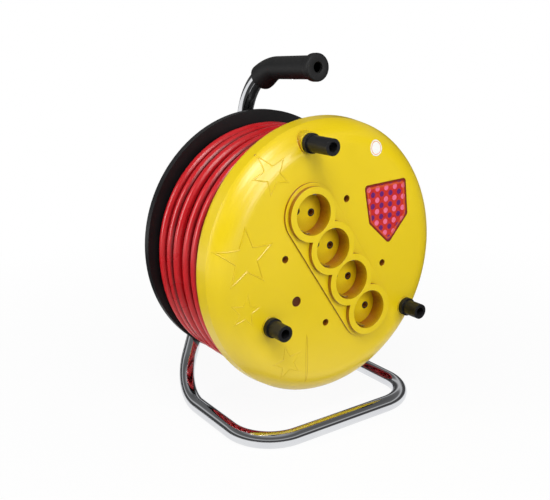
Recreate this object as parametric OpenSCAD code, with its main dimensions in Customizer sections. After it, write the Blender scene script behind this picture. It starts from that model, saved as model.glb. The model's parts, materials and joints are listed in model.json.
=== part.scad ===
// Extension cord reel: a drum of cable with four earthed socket outlets in its front cover,
// turning on an axle that a stand of one bent tube carries.
// X runs to the right, Y to the back and Z up. The origin lies on the ground, under the middle
// of the reel. Sub-parts are drawn about the axle's line and its crossing with the middle of
// the drum, and placed() moves them to the origin's frame.

/* [Drum] */
// Diameter of the front flange, over the cover's rim
front_d = 300; // [294:1:306]
// Diameter of the rear flange
rear_d = 293; // [288:1:298]
// Width of the drum, from the cover's rim to the rear flange's rim
drum_w = 122; // [116:1:126]
// Height of the axle above the ground
axle_h = 185; // [182:1:190]
// Depth of the dished cover, from its rim to its face
dish_depth = 29.6; // [28:0.2:32]
// Radius of the cover's rounded shoulder
shoulder_r = 30; // [26:0.5:32]
// Angle that the shoulder turns through between face and skirt
shoulder_sweep = 64; // [58:1:70]
// How much the cover's skirt narrows between rim and shoulder
skirt_taper = 1.7; // [0.5:0.1:3]
// Wall of the cover
cover_wall = 2.5; // [2:0.1:3]
// Thickness of the flange discs
flange_t = 2.5; // [2:0.1:3.5]
// Depth of the rear flange's rim
rear_rim_h = 8.5; // [7:0.5:10]
// Wall of the rear flange's rim
rear_rim_wall = 3; // [2:0.1:4]
// Diameter of the hub that the cable winds on
hub_d = 160; // [152:1:166]
// Wall of the hub
hub_wall = 3; // [2.5:0.1:4]
// Diameter of the opening in the front flange, for the wiring
wiring_opening_d = 112; // [106:1:116]
// Height of the ribs on the back of the rear flange
rib_h = 5; // [3.5:0.5:5.5]

/* [Axle] */
// Diameter of the axle
axle_d = 14; // [12:0.5:15]
// Radial running clearance of the axle in the bush
running_gap = 0.05; // [0.03:0.01:0.08]
// Wall of the bush
bush_wall = 3.5; // [3:0.1:4]
// Diameter of the bearing boss in the rear flange
boss_d = 34; // [31:0.5:38]
// Distance from the middle of the drum to the front end of the bearing boss
boss_front = 12; // [8:1:18]
// Thickness of the thrust washers
washer_t = 1.5; // [1:0.1:2]
// End clearance beside each thrust washer
thrust_gap = 0.25; // [0.15:0.05:0.4]

/* [Cable] */
// Diameter of the cable
cable_d = 10.5; // [9.5:0.1:10.8]
// Outer diameter of the wound cable
winding_d = 268; // [262:1:272]
// Least gap between two turns of the outer layer
turn_gap = 6.5; // [5.5:0.1:7.5]
// Gap between the winding and the flanges
side_gap = 0.5; // [0.3:0.1:0.8]

/* [Sockets] */
// Inner diameter of a socket's cup
cup_d = 43; // [42:0.1:43.4]
// Depth of a cup
cup_depth = 17.5; // [17:0.1:18]
// Distance between neighbouring sockets
socket_pitch = 46.5; // [46.2:0.1:48]
// Direction of the row of sockets
row_angle = -56.5; // [-60:0.5:-52]
// Offset of the row's middle along the row
row_along = 3.6; // [1:0.2:5]
// Offset of the row's middle across the row
row_across = 1.6; // [0:0.2:3]
// Diameter of the raised ring round a cup
ring_d = 57; // [54:0.5:60]
// Height of the rings above the cover's face
ring_rise = 7.3; // [6:0.1:8]
// Width of the long plate that the rings stand on
plate_w = 64; // [61:0.5:68]
// Height of the plate above the cover's face
plate_rise = 2.4; // [1.5:0.1:3.5]
// Distance between the two pins of a plug
pin_pitch = 19; // [18.8:0.1:19.2]
// Direction of the line through a socket's two pins
pin_line_angle = -11.1; // [-20:0.1:0]
// Diameter of the holes for the pins
pin_hole_d = 5.2; // [5.1:0.05:5.4]
// Diameter of a plug's pins
pin_d = 4.8; // [4.7:0.05:4.85]
// Length of a plug's pins
pin_len = 19; // [18:0.1:19]

/* [Pegs] */
// Diameter of a peg's tube
peg_d = 17; // [16:0.5:18]
// Diameter of a peg's collar
peg_collar_d = 20.5; // [19.5:0.5:22]
// Diameter of the hollow in a peg's end
peg_hollow_d = 10; // [8:0.5:12]
// Length of the two plain pegs
peg_len = 24; // [20:0.5:28]
// Length of the winding knob
knob_len = 37; // [33:0.5:40]

/* [Stand] */
// Diameter of the stand's tube
tube_d = 18; // [17:0.5:19]
// Wall of the tube
tube_wall = 1.5; // [1:0.1:2]
// Width of the base, between the middles of its side tubes
base_w = 224; // [216:1:232]
// Distance from the middle of the drum forward to the front bar
base_front = 107; // [103:1:114]
// Distance from the middle of the drum back to the rear corners of the base
base_back = 57; // [53:1:61]
// Bend radius at the front corners
front_bend_r = 49; // [40:1:55]
// Bend radius where the base turns up into the legs
rear_bend_r = 58; // [50:1:62]
// Bend radius in the legs
leg_bend_r = 80; // [70:1:90]
// Distance from the rear flange back to the legs
leg_gap = 14; // [12:0.5:18]
// Half the distance between the knees of the legs
knee_x = 62; // [58:1:66]
// Depth of the knees below the axle
knee_drop = 82; // [78:1:88]
// Height above the axle where the legs' lines cross
apex_rise = 66; // [63:1:69]
// Height of the handle's front end above the axle
handle_rise = 198; // [194:1:204]
// Angle by which the handle rises towards its front end
handle_tilt = 2.5; // [0:0.5:5]
// Bend radius of the handle
handle_bend_r = 72; // [66:1:76]

/* [Grip] */
// Diameter of the grip
grip_d = 24.6; // [24:0.2:27]
// Diameter of the grip's front end
grip_end_d = 29.2; // [28:0.2:32]
// Diameter of the grip's elbow at its rear end
elbow_d = 29.6; // [28:0.2:32]
// How far the elbow's rear end lies off the tube's middle, to the inside of the bend
elbow_offset = 3.2; // [2:0.2:4]
// Angle on the bend at which the elbow starts
elbow_start = 61; // [56:1:66]
// Distance from the middle of the drum forward to the grip's front end
grip_reach = 57; // [52:1:62]
// Diameter of the hole in the grip's front end
grip_hole_d = 10.6; // [9:0.2:12]

/* [Bracket] */
// Thickness of each half of the bracket
bracket_t = 14; // [12:0.5:16]
// Gap between the bracket's halves
bracket_gap = 0.6; // [0.4:0.1:1]
// Diameter of the bracket's bolts
bolt_d = 6; // [5:0.5:6]

/* [Hidden] */
$fn = 64;

// Fits and small details
fit_gap = 0.1;        // between pieces that are pushed together
bend_gap = 0.3;       // between the bent tube and what is pushed on or into it
disc_inset = 0.4;     // how far the front flange's edge lies inside the cover's rim
cut = 1;              // how far a cutting solid passes the wall that it cuts
label_t = 0.3;        // thickness of a label

// Stations along the axle, from the middle of the drum
rim_y = -drum_w / 2;
face_y = rim_y - dish_depth;
disc_back_y = rim_y + flange_t;
rear_y = drum_w / 2;
web_y = rear_y - rear_rim_h;
mouth_y = face_y - ring_rise;
cup_floor_y = mouth_y + cup_depth;
leg_y = rear_y + leg_gap + tube_d / 2;
boss_rear_y = rear_y + 1;
thrust_y = boss_rear_y + thrust_gap;
bracket_boss_y = thrust_y + washer_t + thrust_gap;
bracket_front_y = leg_y - bracket_gap / 2 - bracket_t;
bracket_rear_y = leg_y + bracket_gap / 2 + bracket_t;
retainer_y = -boss_front - thrust_gap - washer_t;
axle_head_t = 6;
axle_nut_t = 8;
axle_cap_t = 14;
cap_back_y = bracket_rear_y + axle_cap_t;
knob_front_y = face_y - knob_len;
shift_y = -(knob_front_y + cap_back_y) / 2;

// Cover and its inside
shoulder_top_r = front_d / 2 - skirt_taper;
face_r = shoulder_top_r - shoulder_r * sin(shoulder_sweep);
cover_screw_r = 66.8;
cover_screw_angles = [78.9, -11.1, -101.1, 168.9];
screw_hole_d = 7.6;
screw_column_d = 12;
screw_shelf = 12;     // depth of the shelf that a cover screw's head bears on
hub_screw_angles = [33.9, 123.9, 213.9, 303.9];
hub_lug_d = 11;
hub_screw_r = hub_d / 2 - hub_wall - hub_lug_d / 2 + 1;
hub_screw_d = 4;
reset_at = [-51.4, -34.5];
reset_d = 10.8;
reset_sink = 1.2;     // depth of the button's face in its hole
reset_travel = 2;

// Pegs, in places that keep their share of the flange's radius
knob_at = front_d / 2 * [-0.24, 0.85];
peg_right_at = front_d / 2 * [0.687, -0.473];
peg_left_at = front_d / 2 * [-0.553, -0.367];
peg_pad_d = 23;
peg_pad_rise = 0.6;
peg_pad_depth = 18;   // from the face to the pad's back end
peg_collar_t = 5;
pad_y = face_y - peg_pad_rise;
peg_hollow_depth = 14;
knob_pin_d = 8;

// Sockets
socket_ids = [0 : 3];
row_dir = [cos(row_angle), sin(row_angle)];
row_normal = [-sin(row_angle), cos(row_angle)];
row_mid = row_along * row_dir + row_across * row_normal;
function socket_at(i) = row_mid + (i - 1.5) * socket_pitch * row_dir;
function pin_offset(side) = side * pin_pitch / 2 * [cos(pin_line_angle), sin(pin_line_angle)];
cup_wall = 1.7;
insert_floor_t = 3;
insert_flange_t = 2;
insert_block_d = 30;
insert_block_t = 5.5;
insert_back_y = cup_floor_y + insert_floor_t + insert_flange_t + insert_block_t;
bar_t = 0.8;
sleeve_wall = 1;
sleeve_back_y = cup_floor_y + pin_len - 1.5;
clip_w = 5;
clip_r = 20;

// Stand
base_z = tube_d / 2 - axle_h;
grip_end_wall = 4;
grip_screw_at = 42;
// Place on the handle's line, at a distance back from the grip's front end.
function handle_line(s) = [0, s * cos(handle_tilt) - grip_reach, handle_rise - s * sin(handle_tilt)];
handle_corner = handle_line((leg_y + grip_reach) / cos(handle_tilt));
handle_turn = 90 - handle_tilt;
elbow_run = 2;        // straight stretch at the front end of the grip's elbow
sleeve_len = norm(handle_corner - handle_line(0)) - handle_bend_r * tan(handle_turn / 2)
    - elbow_run - fit_gap;
leg_end_rise = 43;
leg_end_x = knee_x * (apex_rise - leg_end_rise) / (apex_rise + knee_drop);
stand_path = [
    [handle_line(grip_end_wall + fit_gap), 0],
    [handle_corner, handle_bend_r],
    [[0, leg_y, apex_rise], leg_bend_r],
    [[-knee_x, leg_y, -knee_drop], leg_bend_r],
    [[-base_w / 2, base_back, base_z], rear_bend_r],
    [[-base_w / 2, -base_front, base_z], front_bend_r],
    [[base_w / 2, -base_front, base_z], front_bend_r],
    [[base_w / 2, base_back, base_z], rear_bend_r],
    [[knee_x, leg_y, -knee_drop], leg_bend_r],
    [[leg_end_x, leg_y, leg_end_rise], 0]
];
leg_slope = atan(knee_x / (apex_rise + knee_drop));
bracket_outline = [[-62, -36], [62, -36], [50, 24], [26, 50], [-26, 50], [-50, 24]];
bracket_corner_r = 10;
bolt_places = [[-21, -24], [21, -24], [-39, 16], [39, 16]];
bolt_head_t = 4;

// Cable
layer_r = winding_d / 2 - cable_d / 2;
rings_per_turn = 24;
ring_sag = layer_r * (1 - cos(180 / rings_per_turn));  // how far a turn dips between its rings
core_gap = 0.3;
core_r = winding_d / 2 - cable_d - ring_sag - core_gap;
turn_pitch = cable_d + turn_gap;
lead_rise = cable_d * turn_pitch / (PI * layer_r);  // how far the free end moves on before it bends
winding_from_y = disc_back_y + side_gap + cable_d / 2;
winding_to_y = web_y - side_gap - cable_d / 2 - lead_rise;
winding_end_angle = -105;
winding_turns = (winding_to_y - winding_from_y) / turn_pitch;
ring_count = floor(winding_turns * rings_per_turn);
inner_end_angle = 150;
inner_end_y = disc_back_y + cable_d / 2 + 6;
inner_end_r = 50;
end_inset = 0.4;      // keeps flat ends off the round core
clamp_r = 63;

// Plug, parked on the winding with its pins pointing up
plug_d = 38;
plug_len = 36;
plug_tail_d = 16;
plug_tail_len = 22;
plug_gap = 0.4;
plug_y = winding_to_y - turn_pitch * (2 + winding_end_angle / 360);  // over a turn of the outer layer
plug_at = [winding_d / 2 + plug_d / 2 + plug_gap, plug_y, 4];
plug_back = plug_at - [0, 0, plug_len / 2 + plug_tail_len];
// Route of the cable's free end between the last turn and the plug, with Y from the plug's middle
tail_route = [[5, 29, -137.5], [27, 27.1, -139], [50, 23.2, -134], [76, 18.2, -121.5], [103, 11.6, -104.5],
    [130, 4.9, -87.5], [147, 1, -69]];
tail_points = [for (p = tail_route) p + [0, plug_y, 0]];

// ---------------------------------------------------------------- helpers

// Moves a sub-part from the axle's frame to the origin's frame.
module placed() {
    translate([0, shift_y, axle_h]) children();
}

// Turns a profile of [radius, y] about the Y axis.
module turned(sides = 128) {
    rotate([-90, 0, 0]) rotate_extrude($fn = sides) children();
}

// Round rod along Y from y0 to y1, at [x, z].
module rod(y0, y1, d, at = [0, 0]) {
    translate([at.x, y0, at.y]) rotate([-90, 0, 0]) cylinder(h = y1 - y0, d = d);
}

// Slab along Y from y0 to y1 with an outline drawn in [x, z].
module slab(y0, y1) {
    translate([0, y1, 0]) rotate([90, 0, 0]) linear_extrude(y1 - y0) children();
}

function polar(r, angle) = r * [cos(angle), sin(angle)];
function unit(v) = v / norm(v);

// Points of an arc that rounds the corner p between its neighbours a and b.
function corner_arc(a, p, b, r, steps) = let(
    u = unit(a - p), w = unit(b - p), half = acos(u * w) / 2,
    centre = p + unit(u + w) * r / sin(half), from = p + u * r / tan(half) - centre,
    start = atan2(from.y, from.x), turn = sign(cross(w, u)) * (180 - 2 * half)
) [for (i = [0 : steps]) centre + polar(r, start + turn * i / steps)];

// Outline with every corner rounded.
function rounded(points, r, steps = 5) = let(n = len(points)) [for (i = [0 : n - 1]) each
    corner_arc(points[(i + n - 1) % n], points[i], points[(i + 1) % n], r, steps)];

// Points along a path of [corner, bend radius], with each bend as an arc in steps of about step degrees.
function turn_at(path, i) = acos(unit(path[i][0] - path[i - 1][0]) * unit(path[i + 1][0] - path[i][0]));
function bend_points(path, i, step) = let(
    p = path[i][0], along = unit(p - path[i - 1][0]), next = unit(path[i + 1][0] - p),
    turn = turn_at(path, i), r = path[i][1], out = cross(along, unit(cross(along, next))),
    start = p - along * r * tan(turn / 2), centre = start - out * r, steps = ceil(turn / step)
) [for (k = [0 : steps]) centre + r * (cos(turn * k / steps) * out + sin(turn * k / steps) * along)];
function path_points(path, step) = let(last = len(path) - 1)
    concat([path[0][0]], [for (i = [1 : last - 1]) each bend_points(path, i, step)], [path[last][0]]);

// Faceted rod, or tube where there is a bore, through a list of points with a ring of corners at each.
// No stretch of it runs along facing, which turns the rings. d may be a list, and a bore may have
// points of its own.
function tube_ring(points, i, r, sides, facing) = let(
    last = len(points) - 1, along = unit(points[min(i + 1, last)] - points[max(i - 1, 0)]),
    across = unit(cross(along, facing)), up = cross(across, along)
) [for (k = [0 : sides - 1]) points[i] + r * (cos(360 * k / sides) * across + sin(360 * k / sides) * up)];
module swept(points, d, sides, facing = [0, 1, 0], bore = 0, bore_points = []) {
    last = len(points) - 1;
    inner = (last + 1) * sides;
    bore_middles = len(bore_points) > 0 ? bore_points : points;
    radii = [for (i = [0 : last]) (is_list(d) ? d[i] : d) / 2];
    outer_corners = [for (i = [0 : last]) each tube_ring(points, i, radii[i], sides, facing)];
    inner_corners = [for (i = [0 : last]) each tube_ring(bore_middles, i, bore / 2, sides, facing)];
    walls = [for (i = [0 : last - 1], k = [0 : sides - 1]) let(
        a = i * sides + k, b = i * sides + (k + 1) % sides
    ) each [[a, a + sides, b], [b, a + sides, b + sides]]];
    bore_walls = [for (wall = walls) inner * [1, 1, 1] + [wall[0], wall[2], wall[1]]];
    end_discs = [for (k = [1 : sides - 2]) each [[0, k, k + 1],
        [last * sides, last * sides + k + 1, last * sides + k]]];
    end_rings = [for (k = [0 : sides - 1]) let(a = k, b = (k + 1) % sides, c = last * sides) each [
        [a, b, a + inner], [b, b + inner, a + inner],
        [c + a, c + a + inner, c + b], [c + b, c + a + inner, c + b + inner]
    ]];
    if (bore > 0)
        polyhedron(points = concat(outer_corners, inner_corners),
            faces = concat(walls, bore_walls, end_rings));
    else
        polyhedron(points = outer_corners, faces = concat(walls, end_discs));
}

// ---------------------------------------------------------------- stand

module stand_tube() {
    color("silver") placed()
        swept(path_points(stand_path, 9), tube_d, 16, [1, 1, -1], tube_d - 2 * tube_wall);
}

// Plug in the open end of the right leg.
module leg_end_plug() {
    color("#202224") placed() translate([leg_end_x, leg_y, leg_end_rise]) rotate([0, -leg_slope, 0]) {
        cylinder(h = 1.2, d = tube_d);
        translate([0, 0, -8]) cylinder(h = 8, d = tube_d - 2 * tube_wall - 2 * bend_gap);
    }
}

// Place on the middle of the handle's bend, moved inwards by some distance.
function handle_bend_at(angle, inset) = handle_corner
    + [0, polar(handle_bend_r - inset, angle).x - handle_bend_r,
        polar(handle_bend_r - inset, angle).y - handle_bend_r * tan(handle_turn / 2)];

// Rear part of the grip, round the handle's bend. It is thicker on the inside of the bend.
module grip_elbow() {
    steps = 7;
    angles = [for (i = [0 : steps]) elbow_start + (handle_turn - elbow_start) * i / steps];
    thickening = [for (a = angles) lookup(a, [[elbow_start, 1], [elbow_start + 5, 1], [handle_turn, 0]])];
    front = handle_line(sleeve_len + fit_gap);
    diameters = [for (t = thickening) grip_d + t * (elbow_d - grip_d)];
    middles = [for (i = [0 : steps]) handle_bend_at(angles[i], thickening[i] * elbow_offset)];
    tube_middles = [for (a = angles) handle_bend_at(a, 0)];
    color("#222426") placed() swept(concat(middles, [front]), concat(diameters, [grip_d]), 24, [1, 0, 0],
        tube_d + 2 * bend_gap, concat(tube_middles, [front]));
}

// Frame at the grip's front end, with Y back along the grip.
module grip_frame() {
    translate(handle_line(0)) rotate([-handle_tilt, 0, 0]) children();
}

// Front part of the grip, a sleeve with a wider end.
module handle_grip() {
    bore_r = tube_d / 2 + fit_gap;
    color("#222426") placed() grip_frame() difference() {
        turned() polygon([
            [grip_hole_d / 2, 0], [grip_end_d / 2 - 1, 0], [grip_end_d / 2, 1], [grip_end_d / 2, 8],
            [grip_d / 2, 10], [grip_d / 2, sleeve_len], [bore_r, sleeve_len],
            [bore_r, grip_end_wall], [grip_hole_d / 2, grip_end_wall]
        ]);
        translate([0, grip_screw_at, -grip_d]) cylinder(h = grip_d, d = 4.2);
        translate([0, grip_screw_at, -grip_d]) cylinder(h = grip_d / 2 + 1.8, d = 7);
    }
}

// Screw that clamps the grip on the tube, from below.
module grip_screw() {
    head_at = -grip_d / 2 - 0.1;
    head_t = 1.7;
    color("dimgray") placed() grip_frame() translate([0, grip_screw_at, head_at]) {
        cylinder(h = head_t, d = 6.6);
        cylinder(h = -head_at - tube_d / 2 - 0.2, d = 4);
    }
}

// Rods that cut the grooves for both legs, from their crossing down.
module leg_grooves() {
    for (side = [-1, 1]) translate([0, leg_y, apex_rise]) rotate([0, 180 - side * leg_slope, 0])
        cylinder(h = apex_rise + knee_drop, d = tube_d + 2 * fit_gap);
}

module bracket_holes() {
    rod(bracket_boss_y - cut, cap_back_y, axle_d + 2 * fit_gap);
    for (at = bolt_places) rod(bracket_front_y - cut, cap_back_y, bolt_d + 2 * fit_gap, at);
}

module bracket_front() {
    color("#202224") placed() difference() {
        union() {
            slab(bracket_front_y, bracket_front_y + bracket_t)
                polygon(rounded(bracket_outline, bracket_corner_r));
            rod(bracket_boss_y, bracket_front_y, boss_d);
        }
        leg_grooves();
        bracket_holes();
    }
}

module bracket_rear() {
    color("#202224") placed() difference() {
        slab(bracket_rear_y - bracket_t, bracket_rear_y)
            polygon(rounded(bracket_outline, bracket_corner_r));
        leg_grooves();
        bracket_holes();
    }
}

module bracket_bolts() {
    color("silver") placed() for (at = bolt_places) {
        rod(bracket_front_y - bolt_head_t, bracket_front_y, 2 * bolt_d, at);
        rod(bracket_front_y, bracket_rear_y + 7, bolt_d, at);
    }
}

// Hexagonal nut along Y with a round bore.
module nut(y0, thickness, width, bore, at = [0, 0]) {
    difference() {
        slab(y0, y0 + thickness) translate(at) circle(d = width / cos(30), $fn = 6);
        rod(y0 - cut, y0 + thickness + cut, bore, at);
    }
}

module bracket_nuts() {
    color("silver") placed() for (at = bolt_places)
        nut(bracket_rear_y, 5, 10, bolt_d + 0.04, at);
}

// ---------------------------------------------------------------- axle

module axle() {
    color("lightsteelblue") placed() {
        rod(retainer_y - axle_head_t, retainer_y, axle_d + 8);
        rod(retainer_y, bracket_rear_y + axle_nut_t + 2, axle_d);
    }
}

module washer(y0, d) {
    turned() translate([axle_d / 2 + running_gap, y0]) square([(d - axle_d) / 2 - running_gap, washer_t]);
}

module thrust_washer() {
    color("gainsboro") placed() washer(thrust_y, boss_d - 2);
}

module retaining_washer() {
    color("gainsboro") placed() washer(retainer_y, axle_d + 14);
}

module axle_nut() {
    color("silver") placed() nut(bracket_rear_y, axle_nut_t, 21, axle_d + 0.04);
}

// Cap over the axle's nut.
module axle_cap() {
    cap_wall = 1.6;
    cap_d = 32;
    color("#202224") placed() turned() difference() {
        translate([0, bracket_rear_y]) square([cap_d / 2, axle_cap_t]);
        translate([-cut, bracket_rear_y - cut])
            square([cap_d / 2 - cap_wall + cut, axle_cap_t - cap_wall + cut]);
    }
}

// ---------------------------------------------------------------- drum

bush_d = axle_d + 2 * running_gap + 2 * bush_wall;

module rear_flange() {
    rib_count = 12;
    rib_t = 2.4;
    color("#1c1d1f") placed() difference() {
        union() {
            turned() {
                translate([0, web_y]) square([rear_d / 2, flange_t]);
                translate([rear_d / 2 - rear_rim_wall, web_y]) square([rear_rim_wall, rear_rim_h]);
                translate([0, -boss_front]) square([boss_d / 2, boss_rear_y + boss_front]);
                translate([hub_d / 2 - 4, web_y]) square([rib_t, flange_t + rib_h]);
            }
            for (i = [0 : rib_count - 1]) rotate([0, i * 360 / rib_count, 0])
                translate([boss_d / 2 - 1, web_y + 1, -rib_t / 2])
                    cube([rear_d / 2 - rear_rim_wall - boss_d / 2 + 2, flange_t + rib_h - 1, rib_t]);
        }
        rod(-boss_front - cut, boss_rear_y + cut, bush_d + 2 * fit_gap);
        for (angle = hub_screw_angles) {
            rod(web_y - cut, web_y + flange_t + cut, hub_screw_d + 2 * fit_gap, polar(hub_screw_r, angle));
            rod(web_y + flange_t, rear_y, 9.5, polar(hub_screw_r, angle));
        }
    }
}

// Plain bush between the axle and the rear flange.
module axle_bush() {
    color("whitesmoke") placed() turned() translate([axle_d / 2 + running_gap, -boss_front])
        square([bush_wall, boss_rear_y + boss_front]);
}

module drum_hub() {
    color("#1c1d1f") placed() difference() {
        union() {
            turned() translate([hub_d / 2 - hub_wall, disc_back_y]) square([hub_wall, web_y - disc_back_y]);
            for (angle = hub_screw_angles) rod(disc_back_y, web_y, hub_lug_d, polar(hub_screw_r, angle));
        }
        for (angle = hub_screw_angles) {
            rod(disc_back_y - cut, disc_back_y + 14, hub_screw_d + 0.04, polar(hub_screw_r, angle));
            rod(web_y - 14, web_y + cut, hub_screw_d + 0.04, polar(hub_screw_r, angle));
        }
        inner_end_frame() cylinder(h = hub_wall + 2 * cut + 2, d = cable_d + 4, center = true);
    }
}

// Disc that closes the cover and guides the winding.
module front_flange() {
    color("gold") placed() difference() {
        turned() translate([wiring_opening_d / 2, rim_y])
            square([(front_d - wiring_opening_d) / 2 - disc_inset, flange_t]);
        for (angle = hub_screw_angles) {
            rod(rim_y - cut, disc_back_y + cut, hub_screw_d + 2 * fit_gap, polar(hub_screw_r, angle));
            rod(rim_y - cut, rim_y + 1.6, 8.4, polar(hub_screw_r, angle));
        }
        for (angle = cover_screw_angles)
            rod(rim_y - cut, disc_back_y + cut, 4.04, polar(cover_screw_r, angle));
        for (side = [-1, 1]) rod(rim_y - cut, disc_back_y + cut, 3.04, clamp_screw_at(side));
    }
}

// Screws that join the hub to both flanges.
module flange_screws() {
    color("silver") placed() for (angle = hub_screw_angles) {
        at = polar(hub_screw_r, angle);
        rod(rim_y, rim_y + 1.6, 8, at);
        rod(rim_y + 1.6, disc_back_y + 12, hub_screw_d, at);
        rod(web_y - 12, web_y + flange_t, hub_screw_d, at);
        rod(web_y + flange_t, web_y + flange_t + 2.5, 8, at);
    }
}

// ---------------------------------------------------------------- cover

// Shoulder of the dished cover as an arc of [radius, y], moved inward by an inset.
function dish_edge(inset) = let(
    r = shoulder_r - inset, at = [face_r, face_y + shoulder_r], steps = 12
) [for (i = [0 : steps]) at + r * [sin(shoulder_sweep * i / steps), -cos(shoulder_sweep * i / steps)]];
module dish_profile() {
    outer = dish_edge(0);
    inner = dish_edge(cover_wall);
    polygon(concat(
        [[0, face_y]], outer, [[front_d / 2, rim_y], [front_d / 2 - cover_wall + 0.1, rim_y]],
        [for (i = [len(inner) - 1 : -1 : 0]) inner[i]], [[0, face_y + cover_wall]]
    ));
}

// Outline of the long plate under the socket rings.
module row_plate(w) {
    length = 3 * socket_pitch;
    translate(row_mid) rotate(row_angle) {
        square([length, w], center = true);
        for (end = [-1, 1]) translate([end * length / 2, 0]) circle(d = w);
    }
}

module front_cover() {
    color("gold") placed() difference() {
        union() {
            turned() dish_profile();
            slab(face_y - plate_rise, face_y + cut) row_plate(plate_w);
            for (i = socket_ids) rod(mouth_y, face_y + cut, ring_d, socket_at(i));
            for (i = socket_ids)
                rod(face_y, cup_floor_y + insert_floor_t, cup_d + 2 * cup_wall, socket_at(i));
            for (at = [knob_at, peg_right_at, peg_left_at]) rod(pad_y, face_y + peg_pad_depth, peg_pad_d, at);
            for (angle = cover_screw_angles)
                rod(face_y + cut, rim_y, screw_column_d, polar(cover_screw_r, angle));
            rod(face_y + cut, face_y + 8, reset_d + 5, reset_at);
        }
        for (i = socket_ids) rod(mouth_y - cut, rim_y, cup_d, socket_at(i));
        for (angle = cover_screw_angles) {
            rod(face_y - cut, face_y + screw_shelf, screw_hole_d, polar(cover_screw_r, angle));
            rod(face_y, rim_y + cut, 4.2, polar(cover_screw_r, angle));
        }
        rod(face_y - cut, rim_y, reset_d + 2 * running_gap, reset_at);
        for (at = [knob_at, peg_right_at, peg_left_at]) {
            rod(pad_y - cut, rim_y, 4.2, at);
            rod(face_y + cover_wall + 2, rim_y, 14, at);
        }
    }
}

module cover_screws() {
    color("dimgray") placed() for (angle = cover_screw_angles) {
        at = polar(cover_screw_r, angle);
        rod(face_y + screw_shelf - 2.6, face_y + screw_shelf, 7, at);
        rod(face_y + screw_shelf, disc_back_y, 4, at);
    }
}

// Frame of one socket, with X along the line through its pins.
module socket_frame(i) {
    translate([socket_at(i).x, 0, socket_at(i).y]) rotate([0, -pin_line_angle, 0]) children();
}

// Floor of one socket, with the holes for the pins and slots for the earth clip.
module socket_insert(i) {
    floor_back_y = cup_floor_y + insert_floor_t;
    color("goldenrod") placed() socket_frame(i) difference() {
        union() {
            rod(cup_floor_y, floor_back_y, cup_d - 2 * fit_gap);
            rod(floor_back_y, floor_back_y + insert_flange_t, cup_d + 2 * cup_wall - 0.6);
            rod(floor_back_y, insert_back_y, insert_block_d);
        }
        for (side = [-1, 1]) {
            rod(cup_floor_y - cut, insert_back_y + cut, pin_hole_d, [side * pin_pitch / 2, 0]);
            translate([-clip_w / 2 - 0.15, cup_floor_y - cut, side * clip_r - bar_t / 2 - 0.15])
                cube([clip_w + 0.3, insert_floor_t + insert_flange_t + 2 * cut, bar_t + 0.3]);
        }
    }
}

// Spring strip of each socket, with an arm above and below the pins.
module earth_clips() {
    arm_front_y = cup_floor_y - 13;
    color("silver") placed() for (i = socket_ids) socket_frame(i) {
        translate([-clip_w / 2, insert_back_y, -clip_r - bar_t / 2])
            cube([clip_w, bar_t, 2 * clip_r + bar_t]);
        for (side = [-1, 1]) translate([-clip_w / 2, arm_front_y, side * clip_r - bar_t / 2])
            cube([clip_w, insert_back_y + bar_t - arm_front_y, bar_t]);
    }
}

module contact_sleeves() {
    sleeve_bore = pin_hole_d;
    color("peru") placed() for (i = socket_ids, side = [-1, 1]) {
        at = socket_at(i) + pin_offset(side);
        difference() {
            rod(insert_back_y, sleeve_back_y - bar_t, sleeve_bore + 2 * sleeve_wall, at);
            rod(insert_back_y - cut, sleeve_back_y + cut, sleeve_bore, at);
        }
    }
}

// Flat bar along the row of sockets, moved by shift from the row's middle.
module busbar(y0, shift, w) {
    length = 3 * socket_pitch + 9;
    slab(y0, y0 + bar_t) translate(row_mid + shift) rotate(row_angle)
        square([length, w], center = true);
}

module pin_busbar(side) {
    difference() {
        busbar(sleeve_back_y - bar_t, pin_offset(side), 8);
        for (i = socket_ids)
            rod(sleeve_back_y - 2 * cut, sleeve_back_y + cut, pin_hole_d,
                socket_at(i) + pin_offset(side));
    }
}

module live_busbar() {
    color("darkgoldenrod") placed() pin_busbar(1);
}

module neutral_busbar() {
    color("darkgoldenrod") placed() pin_busbar(-1);
}

module earth_busbar() {
    color("darkgoldenrod") placed() busbar(insert_back_y + bar_t, [0, 0], 4.5);
}

// ---------------------------------------------------------------- cut-out and wiring

cutout_front_y = face_y + 8 + 0.2;
cutout_len = 16;

// Thermal cut-out behind the cover, with a bore for the button's stem.
module thermal_cutout() {
    size = 22;
    color("#303236") placed() difference() {
        translate([reset_at.x - size / 2, cutout_front_y, reset_at.y - size / 2])
            cube([size, cutout_len, size]);
        rod(cutout_front_y - cut, cutout_front_y + cutout_len - 3, 6 + 2 * running_gap, reset_at);
    }
}

// Button that resets the cut-out; it is pressed to the back.
module reset_button() {
    color("firebrick") placed() {
        rod(face_y + reset_sink, cutout_front_y - reset_travel - 0.4, reset_d, reset_at);
        rod(cutout_front_y - reset_travel - 0.4, cutout_front_y + 6, 6, reset_at);
    }
}

lead_d = 3;
inner_end_at = polar(inner_end_r, inner_end_angle);
function tie(at, y) = [at.x, y, at.y];

module lead(shade, path) {
    color(shade) placed() swept(path_points(path, 22), lead_d, 8, [0.3, 0.2, 1]);
}

// Insulated lead from the cable's inner end, by way of a corner, to a place in front of it.
module inner_lead(shade, side, corner, target, target_y) {
    from = inner_end_at + polar(side * (lead_d + 0.3), inner_end_angle + 90);
    reach = abs(side) == 1 ? 9 : 12;
    lead(shade, [
        [tie(from, inner_end_y), 0],
        [tie(from - polar(reach, inner_end_angle), inner_end_y), 4],
        [tie(corner, inner_end_y - 8), 5],
        [tie(target, inner_end_y - 6), 5],
        [tie(target, target_y), 0]
    ]);
}

module live_lead() {
    inner_lead("saddlebrown", 1, [-47, -6], reset_at + [8.5, 8.5], cutout_front_y + cutout_len);
}

module neutral_lead() {
    inner_lead("royalblue", 0, [-28, 3], row_mid + pin_offset(-1) + 10 * row_dir, sleeve_back_y);
}

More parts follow.
